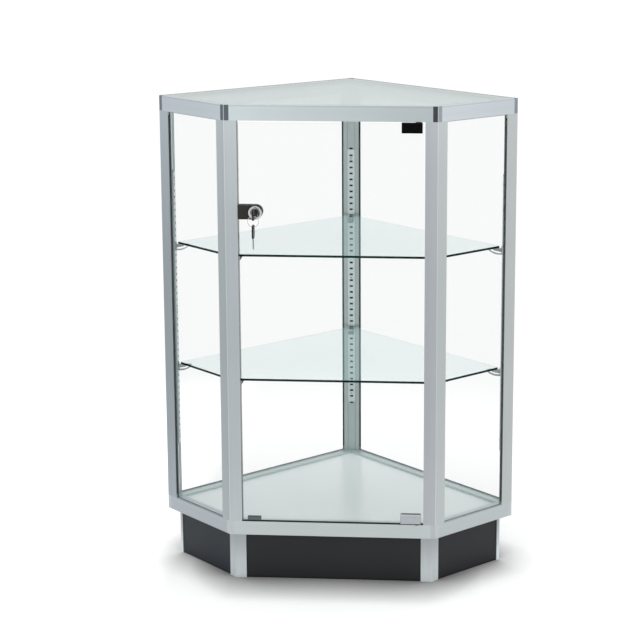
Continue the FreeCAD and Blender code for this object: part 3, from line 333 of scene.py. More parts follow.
# each side's rails, lit and shaded by painted tints: the tint and the painted reflection sweep of
# the top one, and the tint of the bottom one
railLightTones = {
    "left_return": ((1.07, 1.09, 1.135), (0.97, 1.06), (0.98, 0.975, 1.017)),
    "front": ((1.16, 1.18, 1.175), (1.21, 0.885), (1.245, 1.24, 1.20)),
    "right_return": ((1.30, 1.28, 1.32), (1.05, 0.98), (1.12, 1.12, 1.10)),
    "right_back": ((1.15, 1.15, 1.12), (1, 1), (1.15, 1.15, 1.12)),
    "left_back": ((1.15, 1.15, 1.12), (1, 1), (1.15, 1.15, 1.12)),
}
for side, (turn, start, end) in sides.items():
    topTint, sweep, lowTint = railLightTones[side]
    run = (corners[start][0], corners[end][0], sweep)
    # painted light on the inner faces, on the top rail's upward faces and on the bottom rail's
    # ledge
    inner = (flatWay(turn + 90), anodised["inner"])
    topRail = makeAnodised("anodisedTop_" + side, turn, False, topTint,
                           [inner, ((0, 0, 1), anodised["lip"])], run=run, paintedLinesWay=turn - 90)
    lowRail = makeAnodised("anodisedBottom_" + side, turn, False, lowTint,
                           [inner, ((0, 0, 1), anodised["ledge"])])
    wear(["top_rail_" + side], topRail)
    wear(["bottom_rail_" + side], lowRail)

# each post, with painted light and shade: its tint, the painted tone of each outer face,
# how much painted reflection lightens its ends, and the way its jamb looks, painted dark for the
# shade there
postLightTones = {
    "left": ((1, 1, 1), {225: (0.60, 0.63, 0.67)}, 0.44, None),
    "front_left": ((1, 1, 1), {225: (0.77, 0.775, 0.785), 270: (0.97, 0.96, 0.98)}, 0.25, 0),
    "front_right": ((1, 1, 1), {270: (0.90, 0.865, 0.885), 315: (1.03, 1.0, 0.98)}, 0.18, None),
    "right": ((1, 1, 1), {315: (1.05, 1.01, 0.98)}, 0.10, None),
    "back": ((1.10, 1.13, 1.10), {}, 0.0, None),
}
for place, (tint, tones, glow, jambWay) in postLightTones.items():
    faces = [(flatWay(turn), factor) for turn, factor in tones.items()]
    wear(["post_" + place], makeAnodised("anodisedPost_" + place, 0, True, tint, faces,
                                         corners[place], jambWay, glow=glow))

# painted light: the trim lighter towards its foot, against the floor's shade there
trim = {
    "tint": (0.955, 0.935, 0.925),
    "head": Vector((0, 0, 0.098)),
    "foot": Vector((0, 0, 0)),
    "sweep": (1.0, 2.35),
    "sweepPower": 2.0,
}
trimRun = (trim["head"], trim["foot"], trim["sweep"], trim["sweepPower"])
wear(["base_posts"], makeAnodised("anodisedTrim", 0, True, trim["tint"], run=trimRun))

cast = {
    # the top and foot castings are the same part, painted darker at the top and paler at the foot
    # for the light each takes
    "top": ((0.075, 0.08, 0.085), (0.12, 0.125, 0.13), 0.2, 0.37),
    "base": ((0.46, 0.49, 0.50), (0.56, 0.60, 0.61), 0.4, 0.33),
    "grain": (1400.0, 3.0, 0.6),
    "grainShare": 0.5,
    "patch": (60.0, 2.0, 0.5),
    "patchShare": 0.7,
    "least": -0.1,
    "roughSpread": 0.12,
    "bump": 0.25,
    "bumpDepth": 0.00012,
    "reach": 0.06,
    # painted highlight along each corner's edge
    "ridgeShare": 0.99,
    "ridgeHighlight": (0.48, 0.55, 0.58),
    # painted light and shade: a corner, the way one of its faces looks, and that face's painted
    # tone
    "topFaceShading": [
        ("left", 225, (1.30, 1.48, 1.60)),
        ("front_left", 225, (0.77, 0.97, 1.02)),
        ("front_left", 270, (0.92, 1.08, 1.20)),
        ("front_right", 270, (0.35, 0.34, 0.40)),
        ("front_right", 315, (3.0, 3.25, 3.4)),
        ("right", 315, (2.4, 2.6, 2.7)),
    ],
    "baseFaceShading": [("front_right", 270, (0.92, 0.915, 0.915)), ("left", 225, (0.97, 0.96, 0.97))],
}


def makeCast(name, metalTones, tones, ridgeHighlight=False):
    # grained castings, with painted shading on each outer face and a painted highlight along the
    # edge at each corner
    dark, light, metal, rough = metalTones
    finish = Finish(name)
    grain, patch = finish.noise(cast["grain"]), finish.noise(cast["patch"])
    share = grain * cast["grainShare"] + patch * cast["patchShare"] + cast["least"]
    colour = finish.mixColour(share.clamped(), dark, light)
    across = finish.along(finish.place(), (1, 0, 0))
    for place, turn, factor in tones:
        near = abs(across - corners[place][0].x) < cast["reach"]
        colour = finish.tinted(colour, finish.faces(flatWay(turn)) * near, factor)
    # painted highlight along each corner's edge
    if ridgeHighlight:
        for corner, way in corners.values():
            mask = finish.along(finish.normal(), flatWay(way + 180)) > cast["ridgeShare"]
            colour = finish.mixColour(mask, colour, cast["ridgeHighlight"])
    return finish.surface({
        "Base Color": colour,
        "Metallic": metal,
        "Roughness": rough + patch * cast["roughSpread"],
        "Normal": finish.bump(grain, cast["bump"], cast["bumpDepth"]),
    })


wear(["top_corner_connectors"], makeCast("castShadedGrey", cast["top"], cast["topFaceShading"], True))
wear(["bottom_corner_connectors"], makeCast("castLitSilver", cast["base"], cast["baseFaceShading"]))

plated = {
    "grain": (2200.0, 3.0, 0.6),
    "grainShare": 0.3,
    "patch": (90.0, 3.0, 0.5),
    "patchShare": 0.9,
    "least": -0.1,
    "bump": 0.12,
    "bumpDepth": 0.00006,
    # each plating: dark, light, metal, least roughness, its spread, and how its grain is drawn out
    "zincClip": ((0.20, 0.215, 0.22), (0.34, 0.36, 0.37), 0.7, 0.265, 0.15, (1, 1, 1)),
    "satinNickel": ((0.36, 0.39, 0.41), (0.47, 0.50, 0.52), 0.5, 0.28, 0.12, (0.02, 1, 1)),
    "groundSteel": ((0.38, 0.38, 0.39), (0.55, 0.55, 0.56), 0.95, 0.175, 0.15, (1, 1, 1)),
    "keySteel": ((0.30, 0.30, 0.28), (0.48, 0.47, 0.44), 0.9, 0.205, 0.15, (1, 1, 1)),
    "ringSteel": ((0.42, 0.43, 0.44), (0.66, 0.67, 0.68), 0.8, 0.175, 0.15, (1, 1, 1)),
    "strikeGrey": ((0.075, 0.095, 0.10), (0.12, 0.145, 0.15), 0.4, 0.305, 0.15, (1, 1, 1)),
    "magnetGrey": ((0.05, 0.05, 0.055), (0.09, 0.09, 0.095), 0.3, 0.425, 0.15, (1, 1, 1)),
    "zincStrip": ((0.50, 0.565, 0.57), (0.70, 0.775, 0.77), 0.6, 0.28, 0.16, (1, 1, 0.02)),
}
strip = {
    "slotHalf": 0.0037,
    "near": 0.09,
    "sideShare": 0.5,
    # painted shade inside each slot, and over the strip near the left corner
    "slotInsideShade": (0.012, 0.016, 0.016),
    "leftCornerShade": (0.86, 0.88, 0.88),
}


def stripSlotShade(finish, colour):
    # painted shade inside each slot of the strips, and painted shade over the strip near the left
    # corner
    spot = finish.place()
    for corner, (place, way) in corners.items():
        inward, across = flatWay(way), flatWay(way + 90)
        near = finish.along(spot, inward) < place.dot(inward) + strip["near"]
        offset = abs(finish.along(spot, across) - place.dot(across))
        side = abs(finish.along(finish.normal(), inward)) < strip["sideShare"]
        mask = near * (offset < strip["slotHalf"]) * side
        colour = finish.mixColour(mask, colour, strip["slotInsideShade"])
        if corner == "left":
            colour = finish.tinted(colour, near, strip["leftCornerShade"])
    return colour


def makePlated(name, paintedShade=None):
    dark, light, metal, rough, spread, stretch = plated[name]
    finish = Finish(name)
    grain = finish.noise(plated["grain"], finish.place(stretch))
    patch = finish.noise(plated["patch"])
    share = patch * plated["patchShare"] + grain * plated["grainShare"] + plated["least"]
    colour = finish.mixColour(share.clamped(), dark, light)
    if paintedShade:
        colour = paintedShade(finish, colour)
    return finish.surface({
        "Base Color": colour,
        "Metallic": metal,
        "Roughness": rough + patch * spread,
        "Normal": finish.bump(grain, plated["bump"], plated["bumpDepth"]),
    })


wear(["shelf_standards"], makePlated("zincStrip", stripSlotShade))
wear(["lower_shelf_clips", "upper_shelf_clips"], makePlated("zincClip"))
wear(["lower_hinge_clamp"], makePlated("satinNickel"))
groundSteel = makePlated("groundSteel")
wear(["hinge_pins", "lock_bolt"], groundSteel)
wear(["key_blade", "spare_key_blade"], makePlated("keySteel"))
ringSteel = makePlated("ringSteel")
wear(["strike_clip"], makePlated("strikeGrey"))
wear(["catch_magnet"], makePlated("magnetGrey"))

# painted reflections on chrome: dark and light bands, and rings round a centre
mirror = {
    "bands": (2.6, 2.0, 0.4),
    "bandFrom": 0.42,
    "bandTo": 0.56,
    "dark": (0.05, 0.05, 0.055),
    "light": (0.80, 0.81, 0.82),
    "metal": 0.9,
    "scuffs": (1500.0, 2.0, 0.5),
    "rough": 0.10,
    "roughSpread": 0.10,
    # the painted reflection rings' outer radius and tone, outwards from the inmost ring's inner
    # radius
    "reflectionRingsFrom": 0.0095,
    "reflectionRings": [(0.0108, (0.70, 0.71, 0.72)), (0.0116, (0.04, 0.04, 0.045)),
              (0.0130, (0.86, 0.87, 0.88)), (0.0140, (0.03, 0.03, 0.03))],
}


def makeChrome(name, centre=None):
    # bright plating, with painted reflection bands where curved chrome mirrors its surroundings,
    # and painted reflection rings round a centre
    finish = Finish(name)
    bands = finish.noise(mirror["bands"], finish.normal())
    limits = {"Value": bands, "From Min": mirror["bandFrom"], "From Max": mirror["bandTo"]}
    sharp = finish.add("ShaderNodeMapRange", {}, limits)
    scuffs = finish.noise(mirror["scuffs"])
    colour = finish.mixColour(sharp, mirror["dark"], mirror["light"])
    # painted reflection rings round the centre
    if centre:
        spots = {0: finish.times(finish.place(), (1, 0, 1)), 1: (centre.x, 0, centre.z)}
        radius = finish.add("ShaderNodeVectorMath", {"operation": "DISTANCE"}, spots, "Value")
        inner = mirror["reflectionRingsFrom"]
        for outer, tone in mirror["reflectionRings"]:
            colour = finish.mixColour((radius > inner) * (radius < outer), colour, tone)
            inner = outer
    return finish.surface({
        "Base Color": colour,
        "Metallic": mirror["metal"],
        "Roughness": mirror["rough"] + scuffs * mirror["roughSpread"],
    })


wear(["lock_plug"], makeChrome("brightChrome"))
print("metals done")

# moulded, painted and laminated finishes
moulded = {
    "grain": (1800.0, 2.0, 0.6),
    "grainShare": 0.2,
    "patch": (40.0, 3.0, 0.5),
    "patchShare": 0.8,
    "roughSpread": 0.1,
    "bumpDepth": 0.00008,
    # each finish: dark, light, least roughness, bump and specular level
    "blackEnamel": ((0.001, 0.001, 0.0015), (0.003, 0.003, 0.004), 0.40, 0.1, 0.04),
    "bronzeEnamel": ((0.016, 0.0155, 0.012), (0.030, 0.029, 0.022), 0.35, 0.2, 0.2),
    "blackNylon": ((0.008, 0.008, 0.008), (0.018, 0.018, 0.018), 0.45, 0.2, 0.2),
    "keyBlack": ((0.007, 0.007, 0.008), (0.016, 0.016, 0.018), 0.37, 0.2, 0.2),
    "fillerRubber": ((0.008, 0.009, 0.009), (0.016, 0.017, 0.017), 0.55, 0.2, 0.2),
    "padRubber": ((0.012, 0.012, 0.013), (0.028, 0.028, 0.03), 0.65, 0.2, 0.2),
    "clearCushion": ((0.42, 0.45, 0.45), (0.55, 0.58, 0.58), 0.30, 0.05, 0.2),
}


def makeMoulded(name):
    dark, light, rough, bump, specular = moulded[name]
    finish = Finish(name)
    grain, patch = finish.noise(moulded["grain"]), finish.noise(moulded["patch"])
    share = patch * moulded["patchShare"] + grain * moulded["grainShare"]
    return finish.surface({
        "Base Color": finish.mixColour(share.clamped(), dark, light),
        "Roughness": rough + patch * moulded["roughSpread"],
        "Specular IOR Level": specular,
        "Normal": finish.bump(grain, bump, moulded["bumpDepth"]),
    })


wear(["upper_hinge_clamp"], makeMoulded("blackEnamel"))
wear(["lock_case", "lock_cover"], makeMoulded("bronzeEnamel"))
wear(["pivot_bushes", "catch_body"], makeMoulded("blackNylon"))
wear(["slot_fillers"], makeMoulded("fillerRubber"))
wear(["hinge_pads", "lock_pads"], makeMoulded("padRubber"))
keyBlack = makeMoulded("keyBlack")

gasket = {
    "upright": (0.055, 0.062, 0.061),
    # painted light: paler tones where the rubber stands in shade
    "inner": (0.34, 0.38, 0.38),
    "innerDeep": 0.005,
    "level": (0.42, 0.46, 0.46),
    "low": 0.134,
    "high": 0.928,
    "grain": (1500.0, 2.0, 0.5),
    "rough": 0.5,
    "roughSpread": 0.1,
    "specular": 0.2,
}


def makeGasket():
    # black up the posts; its lip inside the glass and its runs along the rails painted paler,
    # against the shade they stand in
    finish = Finish("gasketRubber")
    height = finish.height()
    grain = finish.noise(gasket["grain"])
    level = ((height < gasket["low"]) + (height > gasket["high"])).clamped()
    outer = finish.nearOutline(gasket["innerDeep"])
    colour = finish.mixColour(outer, gasket["inner"], gasket["upright"])
    return finish.surface({
        "Base Color": finish.mixColour(level, colour, gasket["level"]),
        "Roughness": gasket["rough"] + grain * gasket["roughSpread"],
        "Specular IOR Level": gasket["specular"],
    })


wear(["wall_gaskets"], makeGasket())

laminate = {
    "deckDark": (0.66, 0.715, 0.705),
    "deckLight": (0.78, 0.835, 0.825),
    "deckRough": 0.18,
    "deckBump": 0.02,
    "deckSpecular": 0.5,
    # painted light: the deck lighter towards the back, against the shade there
    "deckLightSweep": (0.95, 1.13),
    "kickDark": (0.0125, 0.0135, 0.0145),
    "kickLight": (0.022, 0.0235, 0.025),
    "kickRough": 0.44,
    "kickBump": 0.12,
    "kickSpecular": 0.25,
    # painted light and shade: each side's panel tinted for the light it takes
    "kickLightTints": {
        "left_return": (1.39, 1.60, 1.90),
        "front": (1.13, 1.16, 1.20),
        "right_return": (1.28, 1.25, 1.28),
        "right_back": (1, 1, 1),
        "left_back": (1, 1, 1),
    },
    "fleck": (700.0, 3.0, 0.7),
    "fleckShare": 0.55,
    "cloud": (6.5, 3.0, 0.5),
    "cloudShare": 0.6,
    "least": -0.08,
    "roughSpread": 0.12,
    "bumpDepth": 0.0001,
}


def makeLaminate(name, kind, tint=(1, 1, 1), run=None):
    finish = Finish(name)
    fleck, cloud = finish.noise(laminate["fleck"]), finish.noise(laminate["cloud"])
    share = fleck * laminate["fleckShare"] + cloud * laminate["cloudShare"] + laminate["least"]
    colour = finish.mixColour(share.clamped(), shaded(laminate[kind + "Dark"], tint),
                              shaded(laminate[kind + "Light"], tint))
    if run:
        colour = finish.sweptAlong(colour, *run)
    return finish.surface({
        "Base Color": colour,
        "Roughness": laminate[kind + "Rough"] + fleck * laminate["roughSpread"],
        "Specular IOR Level": laminate[kind + "Specular"],
        "Normal": finish.bump(fleck, laminate[kind + "Bump"], laminate["bumpDepth"]),
    })


# painted light: lighter towards the back
deckRun = (Vector((0, frontY, 0)), Vector((0, backY, 0)), laminate["deckLightSweep"])
wear(["deck_panel"], makeLaminate("whiteLaminate", "deck", run=deckRun))
for side, tint in laminate["kickLightTints"].items():
    wear(["kick_panel_" + side], makeLaminate("blackLaminateLit_" + side, "kick", tint))
print("laminates done")

# each glass: how clear and how hazy its faces are, their tint, the tone of its cut edges, the
# alpha of those seen from outside and from inside, and its specular level
glass = {
    "wall": (0.024, 0.05, (0.10, 0.24, 0.22), (0.004, 0.018, 0.014), 0.9, 0.9, 0.15),
    "top": (0.70, 0.12, (0.47, 0.57, 0.555), (0.004, 0.018, 0.014), 0.9, 0.9, 0.15),
    "shelf": (0.086, 0.22, (0.58, 0.86, 0.87), (0.002, 0.012, 0.009), 1.0, 0.12, 0.05),
    # painted reflection on cut edges seen from inside
    "farEdgeReflection": (0.50, 0.60, 0.58),
    "edgeShare": 0.6,
    "edgeSpread": 1.8,
    "insideIndex": 5.0,
    "insideShare": 0.93,
    "slantBlend": 0.35,
    "slantPower": 3.0,
    "smear": (260.0, 2.0, 0.5),
    "rough": 0.03,
    "roughSpread": 0.03,
    # a dark band round the top glass: partly the rail's seat and the glass's edge, partly painted
    # shade of the gap between glass and rail
    "rim": (0.34, 0.385, 0.385),
    "rimWide": 0.019,
    "rimAlpha": 0.9,
    "doorHead": 0.15,
}


def makeGlass(name, kind, facing, rim=False, headAlpha=None):
    # clear through its faces, deep green at its cut edges, with a painted reflection that turns
    # them pale seen from inside
    clear, haze, tint, edge, edgeAlpha, farAlpha, specular = glass[kind]
    finish = Finish(name)
    edgeMask = abs(finish.along(finish.normal(), facing)) < glass["edgeShare"]
    slant = finish.add("ShaderNodeLayerWeight", {}, {"Blend": glass["slantBlend"]}, "Facing")
    smear = finish.noise(glass["smear"])
    faceAlpha = clear + haze * slant ** glass["slantPower"]
    edgeTone = finish.mixColour(smear, edge, shaded(edge, [glass["edgeSpread"]] * 3))
    edgeShare = edgeAlpha
    # painted reflection: cut edges seen from inside turn pale
    if farAlpha < edgeAlpha:
        bounce = finish.add("ShaderNodeFresnel", {}, {"IOR": glass["insideIndex"]})
        inside = bounce > glass["insideShare"]
        edgeTone = finish.mixColour(inside, edgeTone, glass["farEdgeReflection"])
        edgeShare = edgeAlpha - inside * (edgeAlpha - farAlpha)
    if headAlpha is not None:
        # an upper edge that stays pale
        head = finish.along(finish.normal(), (0, 0, 1)) > glass["edgeShare"]
        edgeShare = edgeShare * (1 - head) + head * headAlpha
    alpha = faceAlpha * (1 - edgeMask) + edgeMask * edgeShare
    # partly painted shade: the dark band round the outline
    if rim:
        near = finish.nearOutline(glassInset + glass["rimWide"])
        tint = finish.mixColour(near, tint, glass["rim"])
        alpha = alpha * (1 - near) + near * glass["rimAlpha"]
    return finish.surface({
        "Base Color": finish.mixColour(edgeMask, tint, edgeTone),
        "Roughness": glass["rough"] + smear * glass["roughSpread"],
        "Specular IOR Level": specular,
        "Alpha": alpha.clamped(),
    })


for side in ("left_return", "right_return", "right_back", "left_back"):
    outward = flatWay(sides[side][0] - 90)
    node = "glass_" + side
    wear([node], makeGlass("clearGlass_" + node, "wall", outward))
doorGlass = makeGlass("clearGlass_door_glass", "wall", (0, 1, 0), headAlpha=glass["doorHead"])
wear(["door_glass"], doorGlass)
wear(["top_glass"], makeGlass("topGlass", "top", (0, 0, 1), rim=True))
wear(["lower_shelf", "upper_shelf"], makeGlass("shelfGlass", "shelf", (0, 0, 1)))
print("glass done")

# small pieces modelled over their plain CAD shapes
sharpFrom = 32  # degrees
weld = 1e-6
straight = 0.9  # how nearly an edge or a face must lie along an axis


def newPiece(name, mesh, body, material, replaced):
    for polygon in mesh.polygons:
        polygon.use_smooth = True
    mesh.set_sharp_from_angle(angle=math.radians(sharpFrom))
    piece = bpy.data.objects.new(name, mesh)
    bpy.context.scene.collection.objects.link(piece)
    mesh.materials.clear()
    mesh.materials.append(material)
    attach(piece, body)
    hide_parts(*replaced)
    return piece


def meshFrom(form, name):
    mesh = bpy.data.meshes.new(name)
    form.to_mesh(mesh)
    form.free()
    return mesh


def joinInto(form, single):
    # adds one small shape to the mesh that holds them all
    holder = meshFrom(single, "holder")
    form.from_mesh(holder)
    bpy.data.meshes.remove(holder)


def roundEdges(form, edges, offset, segments):
    bmesh.ops.bevel(form, geom=edges, offset=offset, segments=segments, affect="EDGES",
                    profile=0.5, material=-1)


def edgesAlong(form, axis):
    return [edge for edge in form.edges
            if abs((edge.verts[0].co - edge.verts[1].co).normalized()[axis]) > straight]


def topFace(form):
    return max(form.faces, key=lambda face: face.calc_center_median().z)


def centreOf(node):
    low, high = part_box(node)
    return (Vector(low) + Vector(high)) / 2, Vector(high) - Vector(low)


def islands(node):
    # the middle of each separate solid of a node, and its points about that middle
    form = bmesh.new()
    form.from_mesh(nodes[node].data)
    bmesh.ops.remove_doubles(form, verts=form.verts, dist=weld)
    seen = set()
    found = []
    for first in form.verts:
        if first in seen:
            continue
        seen.add(first)
        group = [first]
        for vert in group:  # the group grows while it is walked
            others = [edge.other_vert(vert) for edge in vert.link_edges]
            group += [other for other in others if other not in seen]
            seen.update(others)
        middle = sum((vert.co for vert in group), Vector()) / len(group)
        found.append((middle, [vert.co - middle for vert in group]))
    form.free()
    return found


def towardsMiddle(point):
    # inward along the nearest corner's bisector
    flat = Vector((point.x, point.y, 0))
    corner, way = min(corners.values(), key=lambda place: (place[0] - flat).length)
    return Vector(flatWay(way))


def towardsBack(point):
    return Vector((0, 1, 0))


screwHead = {
    "segments": 20,
    "topShare": 0.62,
    "rimShare": 0.35,
    "rimSegments": 3,
    "recessInset": 0.22,
    "recessDeep": 0.55,
}


def makeScrewHeads(node, name, body, facing):
    # domed heads with a round recess, standing where the plain heads stand
    form = bmesh.new()
    for middle, points in islands(node):
        axis = facing(middle)
        rise = max(point.dot(axis) for point in points) * 2
        radius = max((point - axis * point.dot(axis)).length for point in points)
        single = bmesh.new()
        bmesh.ops.create_cone(single, cap_ends=True, segments=screwHead["segments"],
                              radius1=radius, radius2=radius * screwHead["topShare"], depth=rise)
        roundEdges(single, topFace(single).edges[:], rise * screwHead["rimShare"],
                   screwHead["rimSegments"])
        bmesh.ops.inset_region(single, faces=[topFace(single)],
                               thickness=radius * screwHead["recessInset"])
        flat = [face for face in single.faces
                if len(face.verts) == screwHead["segments"] and face.normal.z > straight]
        sunk = bmesh.ops.extrude_discrete_faces(single, faces=flat)["faces"]
        bmesh.ops.translate(single, verts=list({vert for face in sunk for vert in face.verts}),
                            vec=(0, 0, -rise * screwHead["recessDeep"]))
        turn = axis.to_track_quat("Z", "Y").to_matrix().to_4x4()
        bmesh.ops.transform(single, matrix=Matrix.Translation(middle) @ turn,
                            verts=single.verts)
        joinInto(form, single)
    newPiece(name, meshFrom(form, name), body, groundSteel, [node])


makeScrewHeads("standard_screws", "stripScrews", "cabinet", towardsMiddle)
makeScrewHeads("hinge_screws", "clampScrews", "door", towardsBack)
makeScrewHeads("lock_cover_screws", "coverScrews", "door", towardsBack)

keyHead = {
    "corner": 5.6,
    "cornerSegments": 8,
    "edge": 0.7,
    "edgeSegments": 3,
    "edgeAngle": 0.9,
    "panelInset": 2.6,
    "panelSunk": 0.5,
    "holeRadius": 2.5,
    "holeInset": 5.5,
    "holeSegments": 32,
    "cutterLong": 20.0,
}


def cutAway(form, cutter, name):
    # one mesh less another, by a Boolean modifier that is then applied
    solid = bpy.data.objects.new(name + "_solid", meshFrom(form, name + "_solid"))
    tool = bpy.data.objects.new(name + "_tool", meshFrom(cutter, name + "_tool"))
    for item in (solid, tool):
        bpy.context.scene.collection.objects.link(item)
    change = solid.modifiers.new("cut", "BOOLEAN")
    change.operation = "DIFFERENCE"
    change.solver = "EXACT"
    change.object = tool
    graph = bpy.context.evaluated_depsgraph_get()
    mesh = bpy.data.meshes.new_from_object(solid.evaluated_get(graph))
    for item in (solid, tool):
        old = item.data
        bpy.data.objects.remove(item)
        bpy.data.meshes.remove(old)
    mesh.name = name
    return mesh


def makeKeyHead(node, name, body, holeAtTop):
    # a moulded head with rounded corners, a sunk panel on each flat and a ring hole
    middle, size = centreOf(node)
    form = bmesh.new()
    bmesh.ops.create_cube(form, size=1.0)
    bmesh.ops.scale(form, vec=size, verts=form.verts)
    roundEdges(form, edgesAlong(form, 0), keyHead["corner"] * milli, keyHead["cornerSegments"])
    flats = [face for face in form.faces if abs(face.normal.x) > straight]
    bmesh.ops.inset_individual(form, faces=flats, thickness=keyHead["panelInset"] * milli,
                               depth=-keyHead["panelSunk"] * milli)
    rims = [edge for edge in form.edges
            if edge.is_manifold and edge.calc_face_angle() > keyHead["edgeAngle"]
            and abs(abs(edge.verts[0].co.x) - size.x / 2) < weld]
    roundEdges(form, rims, keyHead["edge"] * milli, keyHead["edgeSegments"])
    bmesh.ops.translate(form, vec=middle, verts=form.verts)
    inset = keyHead["holeInset"] * milli
    if holeAtTop:
        hole = middle + Vector((0, 0, size.z / 2 - inset))
    else:
        hole = middle + Vector((0, inset - size.y / 2, 0))
    radius = keyHead["holeRadius"] * milli
    cutter = bmesh.new()
    bmesh.ops.create_cone(cutter, cap_ends=True, segments=keyHead["holeSegments"],
                          radius1=radius, radius2=radius, depth=keyHead["cutterLong"] * milli)
    bmesh.ops.rotate(cutter, matrix=Matrix.Rotation(math.radians(90), 3, "Y"),
                     verts=cutter.verts)
    bmesh.ops.translate(cutter, vec=hole, verts=cutter.verts)
    newPiece(name, cutAway(form, cutter, name), body, keyBlack, [node])


makeKeyHead("key_grip", "keyHead", "key", False)
makeKeyHead("spare_key_grip", "spareKeyHead", "spare_key", True)

splitRing = {
    "turns": 2,
    "stepsPerTurn": 56,
    "wireWide": 1.15,
    "wireHigh": 0.54,
    "round": 0.14,
    "roundSegments": 2,
}


def makeSplitRing():
    # two turns of flattened wire, lying against each other
    middle, size = centreOf("key_ring")
    wide, high = splitRing["wireWide"] * milli, splitRing["wireHigh"] * milli
    steps = splitRing["turns"] * splitRing["stepsPerTurn"]
    travel = size.y - high
    form = bmesh.new()
    bmesh.ops.create_grid(form, x_segments=1, y_segments=1, size=0.5)
    bmesh.ops.rotate(form, matrix=Matrix.Rotation(math.radians(90), 3, "Y"), verts=form.verts)
    bmesh.ops.scale(form, vec=(1, high, wide), verts=form.verts)
    bmesh.ops.bevel(form, geom=form.verts, offset=splitRing["round"] * milli,
                    segments=splitRing["roundSegments"], affect="VERTICES", profile=0.5,
                    material=-1)
    start = middle + Vector((0, -travel / 2, size.x / 2 - wide / 2))
    bmesh.ops.translate(form, vec=start, verts=form.verts)
    section = form.verts[:] + form.edges[:] + form.faces[:]
    bmesh.ops.spin(form, geom=section, cent=middle, axis=(0, 1, 0), dvec=(0, travel / steps, 0),
                   angle=math.radians(360 * splitRing["turns"]), steps=steps,
                   use_duplicate=False)
    bmesh.ops.recalc_face_normals(form, faces=form.faces)
    mesh = meshFrom(form, "splitRing")
    newPiece("splitRing", mesh, "key_ring", ringSteel, ["key_ring"])


makeSplitRing()

bezel = {
    "segments": 72,
    "bore": 7.05,
    "barrel": 10.0,
    "brim": 0.35,
    # the rolled lip, as steps out from the bore or the brim and steps back from the face
    "fromBore": ((0, 1.4), (1.0, 0.5), (2.2, 0)),
    "fromBrim": ((-2.4, 0), (-1.0, 0.5), (-0.25, 1.6), (0, 3.5)),
}


def makeBezel():
    # the chrome barrel with a rolled lip round the plug
    middle, size = centreOf("lock_barrel")
    bore = bezel["bore"] * milli
    brim = size.x / 2 + bezel["brim"] * milli
    barrel = bezel["barrel"] * milli
    face, back = middle.y - size.y / 2, middle.y + size.y / 2
    profile = [(bore, back)]
    for start, steps in ((bore, bezel["fromBore"]), (brim, bezel["fromBrim"])):
        profile += [(start + out * milli, face + deep * milli) for out, deep in steps]
    profile += [(barrel, profile[-1][1]), (barrel, back)]
    form = bmesh.new()
    ring = [form.verts.new((middle.x + radius, depth, middle.z)) for radius, depth in profile]
    edges = [form.edges.new((ring[place - 1], ring[place])) for place in range(len(ring))]
    bmesh.ops.spin(form, geom=ring + edges, cent=(middle.x, 0, middle.z), axis=(0, 1, 0),
                   angle=math.radians(360), steps=bezel["segments"], use_merge=True,
                   use_duplicate=False)
    bmesh.ops.remove_doubles(form, verts=form.verts, dist=weld)
    bmesh.ops.recalc_face_normals(form, faces=form.faces)
    ringed = makeChrome("chromeReflectionRings", middle)
    mesh = meshFrom(form, "lockBezel")
    newPiece("lockBezel", mesh, "door", ringed, ["lock_barrel"])


makeBezel()

cushion = {
    "corner": 1.8,
    "cornerSegments": 4,
    "crown": 0.35,
    "crownSegments": 3,
}


def makeCushions():
    # soft pads with rounded corners and crowned edges
    form = bmesh.new()
    for middle, points in islands("clip_cushions"):
        axis = towardsMiddle(middle)
        ways = (axis, Vector((-axis.y, axis.x, 0)), Vector((0, 0, 1)))
        size = Vector([max(point.dot(way) for point in points) * 2 for way in ways])
        single = bmesh.new()
        bmesh.ops.create_cube(single, size=1.0)
        bmesh.ops.scale(single, vec=size, verts=single.verts)
        roundEdges(single, edgesAlong(single, 2), cushion["corner"] * milli,
                   cushion["cornerSegments"])
        roundEdges(single, topFace(single).edges[:], cushion["crown"] * milli,
                   cushion["crownSegments"])
        turn = Matrix.Rotation(math.atan2(axis.y, axis.x), 4, "Z")
        bmesh.ops.transform(single, matrix=Matrix.Translation(middle) @ turn,
                            verts=single.verts)
        joinInto(form, single)
    clear = makeMoulded("clearCushion")
    newPiece("clipPads", meshFrom(form, "clipPads"), "cabinet", clear,
             ["clip_cushions"])


makeCushions()
print("small pieces done")

# floor, light and camera
studio = {
    "floorSize": 26.0,
    "floorColour": 0.86,
    "floorGrain": (40.0, 2.0, 0.5),
    "floorSpread": 0.01,
    "floorRough": 0.9,
    "floorLift": 0.16,
    "farLift": 0.045,
    "farFrom": 0.95,
    "farFade": 0.5,
    # painted light to the left of the case, thinning the shadow there
    "leftPaintedLight": 0.17,
    "leftFrom": 0.025,
    "leftFade": 0.05,
    "contactReach": 0.10,
    "frontReach": 0.045,
    "contactPower": 1.6,
    "endPower": 0.4,
    "endCurve": 2.0,
    "leftPower": 0.75,
    "rightPower": 0.4,
    "frontHalf": 0.30,
    "fade": 0.10,
    "skyStrength": 0.86,
    "sunStrength": 0.9,
    "sunAngle": 70.0,
    "sunFrom": (0.7, -0.3, 3.6),
}


